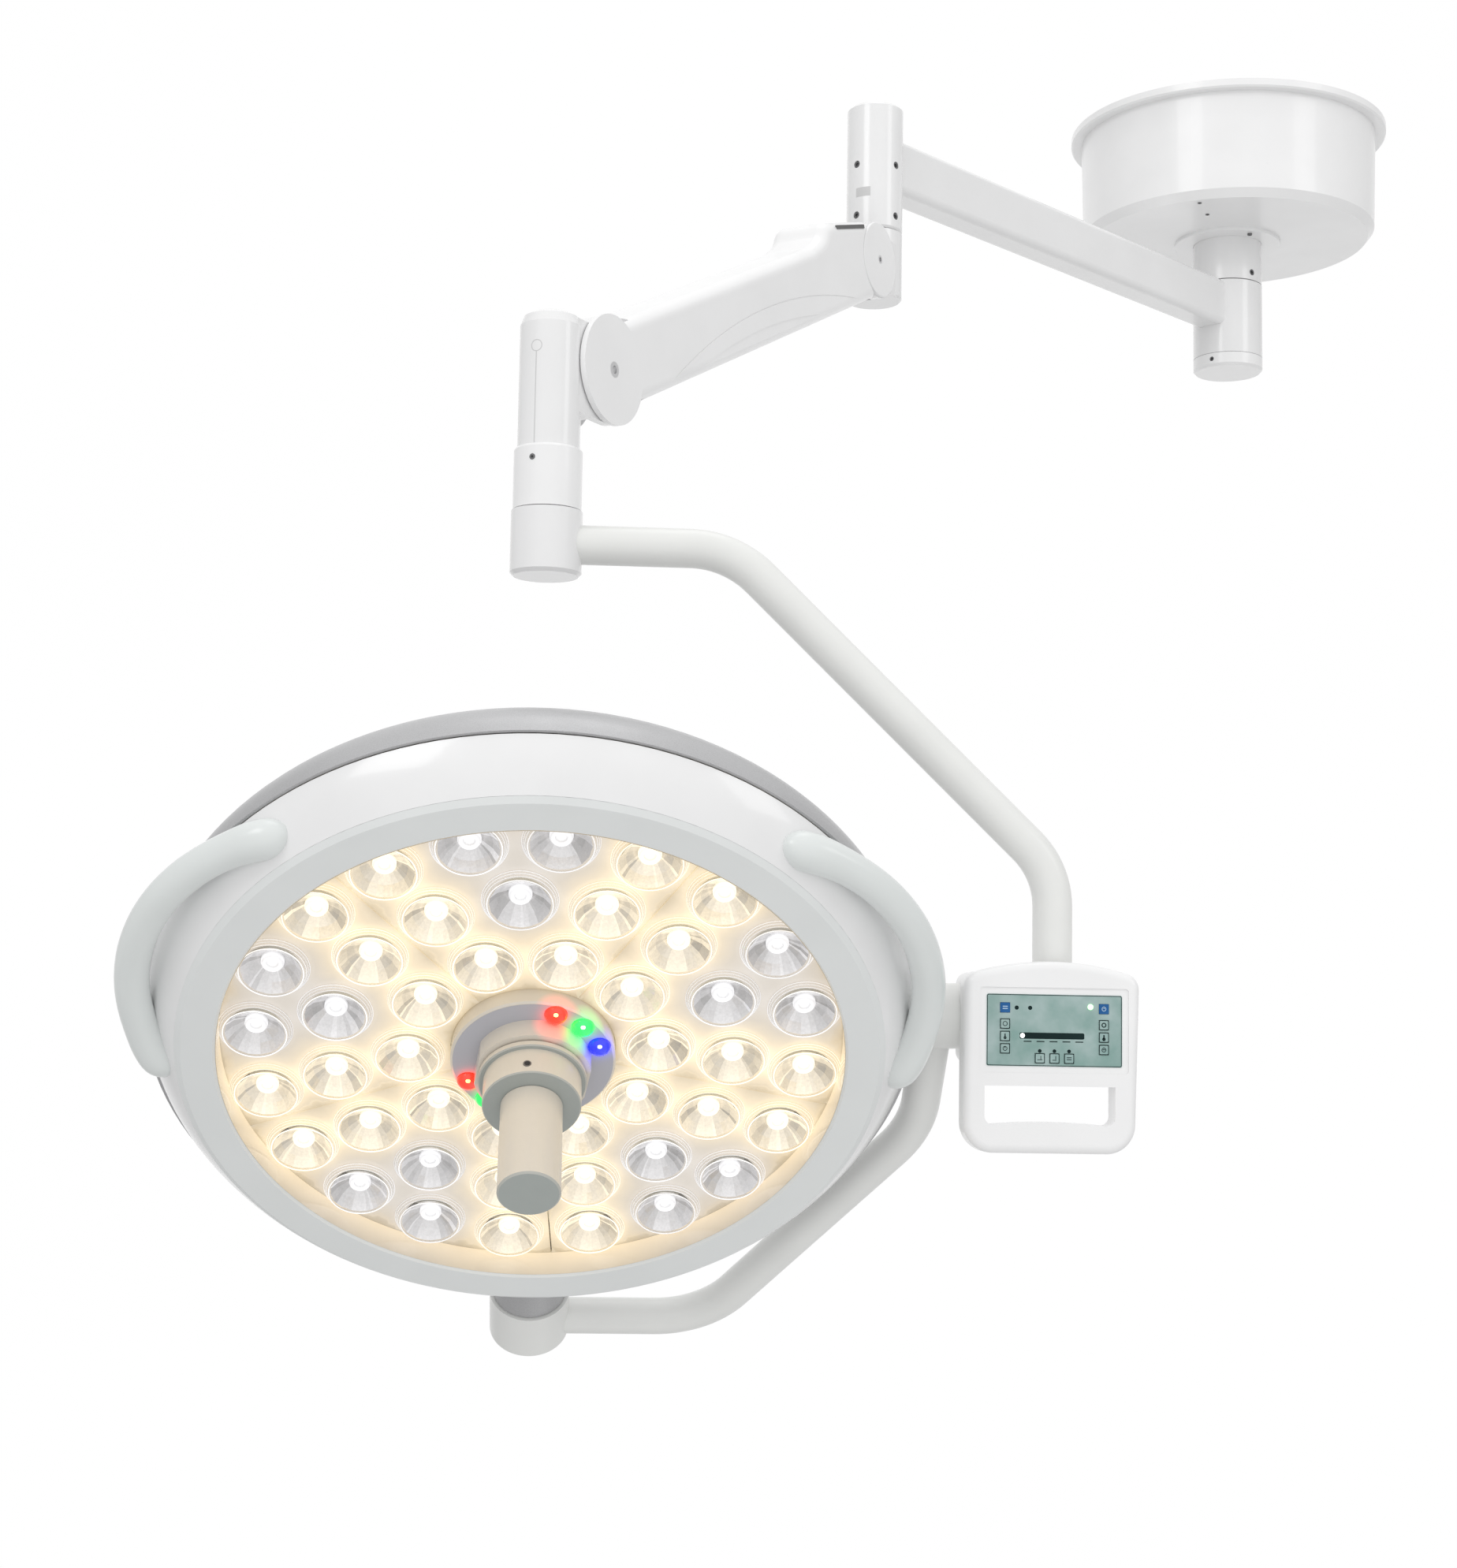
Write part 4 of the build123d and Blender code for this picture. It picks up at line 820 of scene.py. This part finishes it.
def make_panel_print():
    """Bar, marks and frame printed on the film, and its status lights."""
    art = Shape()
    art.add(*slab(rounded(53, 5, 1.2), 0, PRINT_LIFT), place=shifted(-2, STATUS_ROW))
    edge_outer, edge_inner = rounded(110.4, 57.4, 1.4), rounded(109.4, 56.4, 1.0)
    art.add(*frame_slab(edge_outer, edge_inner, 0, PRINT_LIFT))
    for x in (-31, -20):
        art.add(*slab(circle(1.7, 18, x, 18), 0, PRINT_LIFT))
    for x in BOTTOM_KEYS:
        art.add(*slab(circle(1.5, 18, x, -16.6), 0, PRINT_LIFT))
    for mark in range(SCALE_MARKS):
        art.add(*slab(rounded(6.5, 0.8, 0.3, steps=2), 0, PRINT_LIFT),
                place=shifted(SCALE_START + SCALE_STEP * mark, SCALE_ROW))
    art.piece("panel_print", SCREEN, "yoke", "overlay_teal", [INK])

    lights = Shape()
    lights.add(*turned([(1.9, 0.1), (1.6, 0.9), (0.8, 1.3), (0, 1.4)], 18), place=shifted(-26.2, STATUS_ROW),
               glow=(2.2, 2.4, 2.3))
    lights.add(*turned([(2.4, 0.05), (2.0, 0.9), (1.0, 1.4), (0, 1.5)], 20), place=shifted(29.5, 19.5),
               glow=(0.55, 1.5, 0.5))
    lights.piece("panel_lights", SCREEN, "yoke", "overlay_teal", [LENS_LIGHT], crease=60)


def make_key_print(key, icon, material):
    """Outline and sign on one key, riding on it."""
    low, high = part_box(key)
    face = local_frame(((low.x + high.x) / 2, low.y, (low.z + high.z) / 2), EAST, (0, -1, 0))
    art = Shape()
    if material is INK:
        art.add(*frame_slab(rounded(8, 8, 1.1), rounded(6.9, 6.9, 0.7), 0, PRINT_LIFT))
    for outline, inner, sx, sy in icon:
        if inner:
            art.add(*frame_slab(outline, inner, 0, PRINT_LIFT), place=shifted(sx, sy))
        else:
            art.add(*slab(outline, 0, PRINT_LIFT), place=shifted(sx, sy))
    art.piece(f"{key}_print", face, f"{key}_body", "key_grey", [material])


def bar(width, height, x=0.0, y=0.0):
    return (rounded(width, height, min(width, height) * 0.3, steps=2), None, x, y)


def ring(radius, line, x=0.0, y=0.0):
    return (circle(radius, 20), circle(radius - line, 20), x, y)


make_panel_print()
SIGNS = {
    "left_1": [ring(2.0, 0.5)],
    "left_2": [bar(0.9, 4.0), ring(1.2, 0.5, 0, -1.4)],
    "left_3": [ring(1.9, 0.5), bar(0.6, 1.8, 0, 1.0)],
    "right_1": [ring(2.0, 0.8)],
    "right_2": [bar(1.1, 4.2), ring(1.4, 0.7, 0, -1.4)],
    "right_3": [ring(1.9, 0.5), bar(2.2, 0.6, 0, 0.2)],
    "bottom_1": [bar(4.2, 0.5, 0, -1.2), bar(0.5, 3.0, 0.8, 0.4)],
    "bottom_2": [bar(0.5, 4.0, 1.0, 0), bar(2.2, 0.5, -0.6, -1.4)],
    "bottom_3": [bar(4.0, 0.6, 0, 0.8), bar(4.0, 0.6, 0, -0.8)],
    "blue_left": [bar(4.2, 0.8, 0, 0.9), bar(4.2, 0.8, 0, -0.9)],
    "blue_right": [ring(1.9, 0.6), bar(0.7, 2.2, 0, 1.2)],
}
for key_name, signs in SIGNS.items():
    make_key_print(f"key_{key_name}", signs, PALE_INK if "blue" in key_name else INK)


# ---------------------------------------------------------------- studio and camera
def make_studio():
    """Pale floor that curves up into a backdrop all round, seen white, and soft lights above."""
    shader = Shader("studio_pale")
    place = shader.node("ShaderNodeSeparateXYZ", Vector=shader.place())
    level = shader.math("SQRT", shader.math("ADD", shader.math("MULTIPLY", place.outputs["X"], place.outputs["X"]),
                                            shader.math("MULTIPLY", place.outputs["Y"], place.outputs["Y"])))
    rise = shader.span(level, 0.8, 1.0, start=4.0, end=5.5)
    sideways = shader.math("ABSOLUTE", shader.math("DIVIDE", place.outputs["X"], level))
    flags = shader.span(sideways, 1.0, 0.62, start=0.5, end=0.85)
    rise = shader.math("MULTIPLY", rise, flags)
    grain = shader.node("ShaderNodeTexNoise", Scale=3.0, Detail=3.0).outputs["Fac"]
    strength = shader.math("MULTIPLY", rise, shader.span(grain, 0.995, 1.005))
    light = shader.node("ShaderNodeEmission", Color=(1, 1, 1, 1), Strength=strength)
    material = shader.finish(light.outputs["Emission"])

    floor_height, wall_height, flat, sweep = -3000, 6000, 5000, 2500
    profile = [(0, floor_height), (flat, floor_height)]
    profile += [(flat + sweep * sin(radians(a)), floor_height + sweep * (1 - cos(radians(a)))) for a in range(9, 91, 9)]
    profile.append((flat + sweep, wall_height))
    points, faces = turned(profile, 96)
    mesh = bpy.data.meshes.new("studio")
    mesh.from_pydata([Vector(point) * MM for point in points], [], faces)
    mesh.shade_smooth()
    mesh.materials.append(material)
    studio = bpy.data.objects.new("studio", mesh)
    bpy.context.scene.collection.objects.link(studio)

    world = bpy.data.worlds.new("studio_sky")
    bpy.context.scene.world = world
    world.use_nodes = True
    world.node_tree.nodes["Background"].inputs["Color"].default_value = (1, 1, 1, 1)
    world.node_tree.nodes["Background"].inputs["Strength"].default_value = 0.95


def soft_light(name, place, aim, size, power):
    """A square softbox that lights the object and isn't seen itself."""
    data = bpy.data.lights.new(name, "AREA")
    data.size = size
    data.energy = power
    lamp = bpy.data.objects.new(name, data)
    bpy.context.scene.collection.objects.link(lamp)
    lamp.location = place
    lamp.rotation_mode = "QUATERNION"
    lamp.rotation_quaternion = (Vector(aim) - Vector(place)).to_track_quat("-Z", "Y")
    lamp.visible_camera = False


def make_camera():
    """Camera a little below the lamp head's centre, looking slightly up."""
    offset = Vector((13.5, -2044.8, -27.7)) * MM
    yaw, pitch, roll = radians(3.98), radians(6.02), radians(0.96)
    look = Vector((sin(yaw) * cos(pitch), cos(yaw) * cos(pitch), sin(pitch)))
    level = Vector((cos(yaw), -sin(yaw), 0))
    over = level.cross(look)
    right = level * cos(roll) + over * sin(roll)
    top = over * cos(roll) - level * sin(roll)
    data = bpy.data.cameras.new("camera")
    data.sensor_width = 36
    data.lens = 57.0
    data.clip_start = 0.05
    camera = bpy.data.objects.new("camera", data)
    bpy.context.scene.collection.objects.link(camera)
    matrix = Matrix((right, top, -look)).transposed().to_4x4()
    matrix.translation = GIMBAL + offset
    camera.matrix_world = matrix
    bpy.context.scene.camera = camera


make_studio()
soft_light("key_light", (-3.2, -3.4, 1.6), (-0.7, -0.7, -0.7), 1.6, 24)
soft_light("side_light", (2.6, -2.6, 0.8), (-0.6, -0.6, -0.6), 1.2, 9)
soft_light("top_light", (-0.6, -0.4, 2.6), (-0.6, -0.6, -0.6), 2.0, 12)
make_camera()
bpy.context.scene.view_settings.view_transform = "Standard"
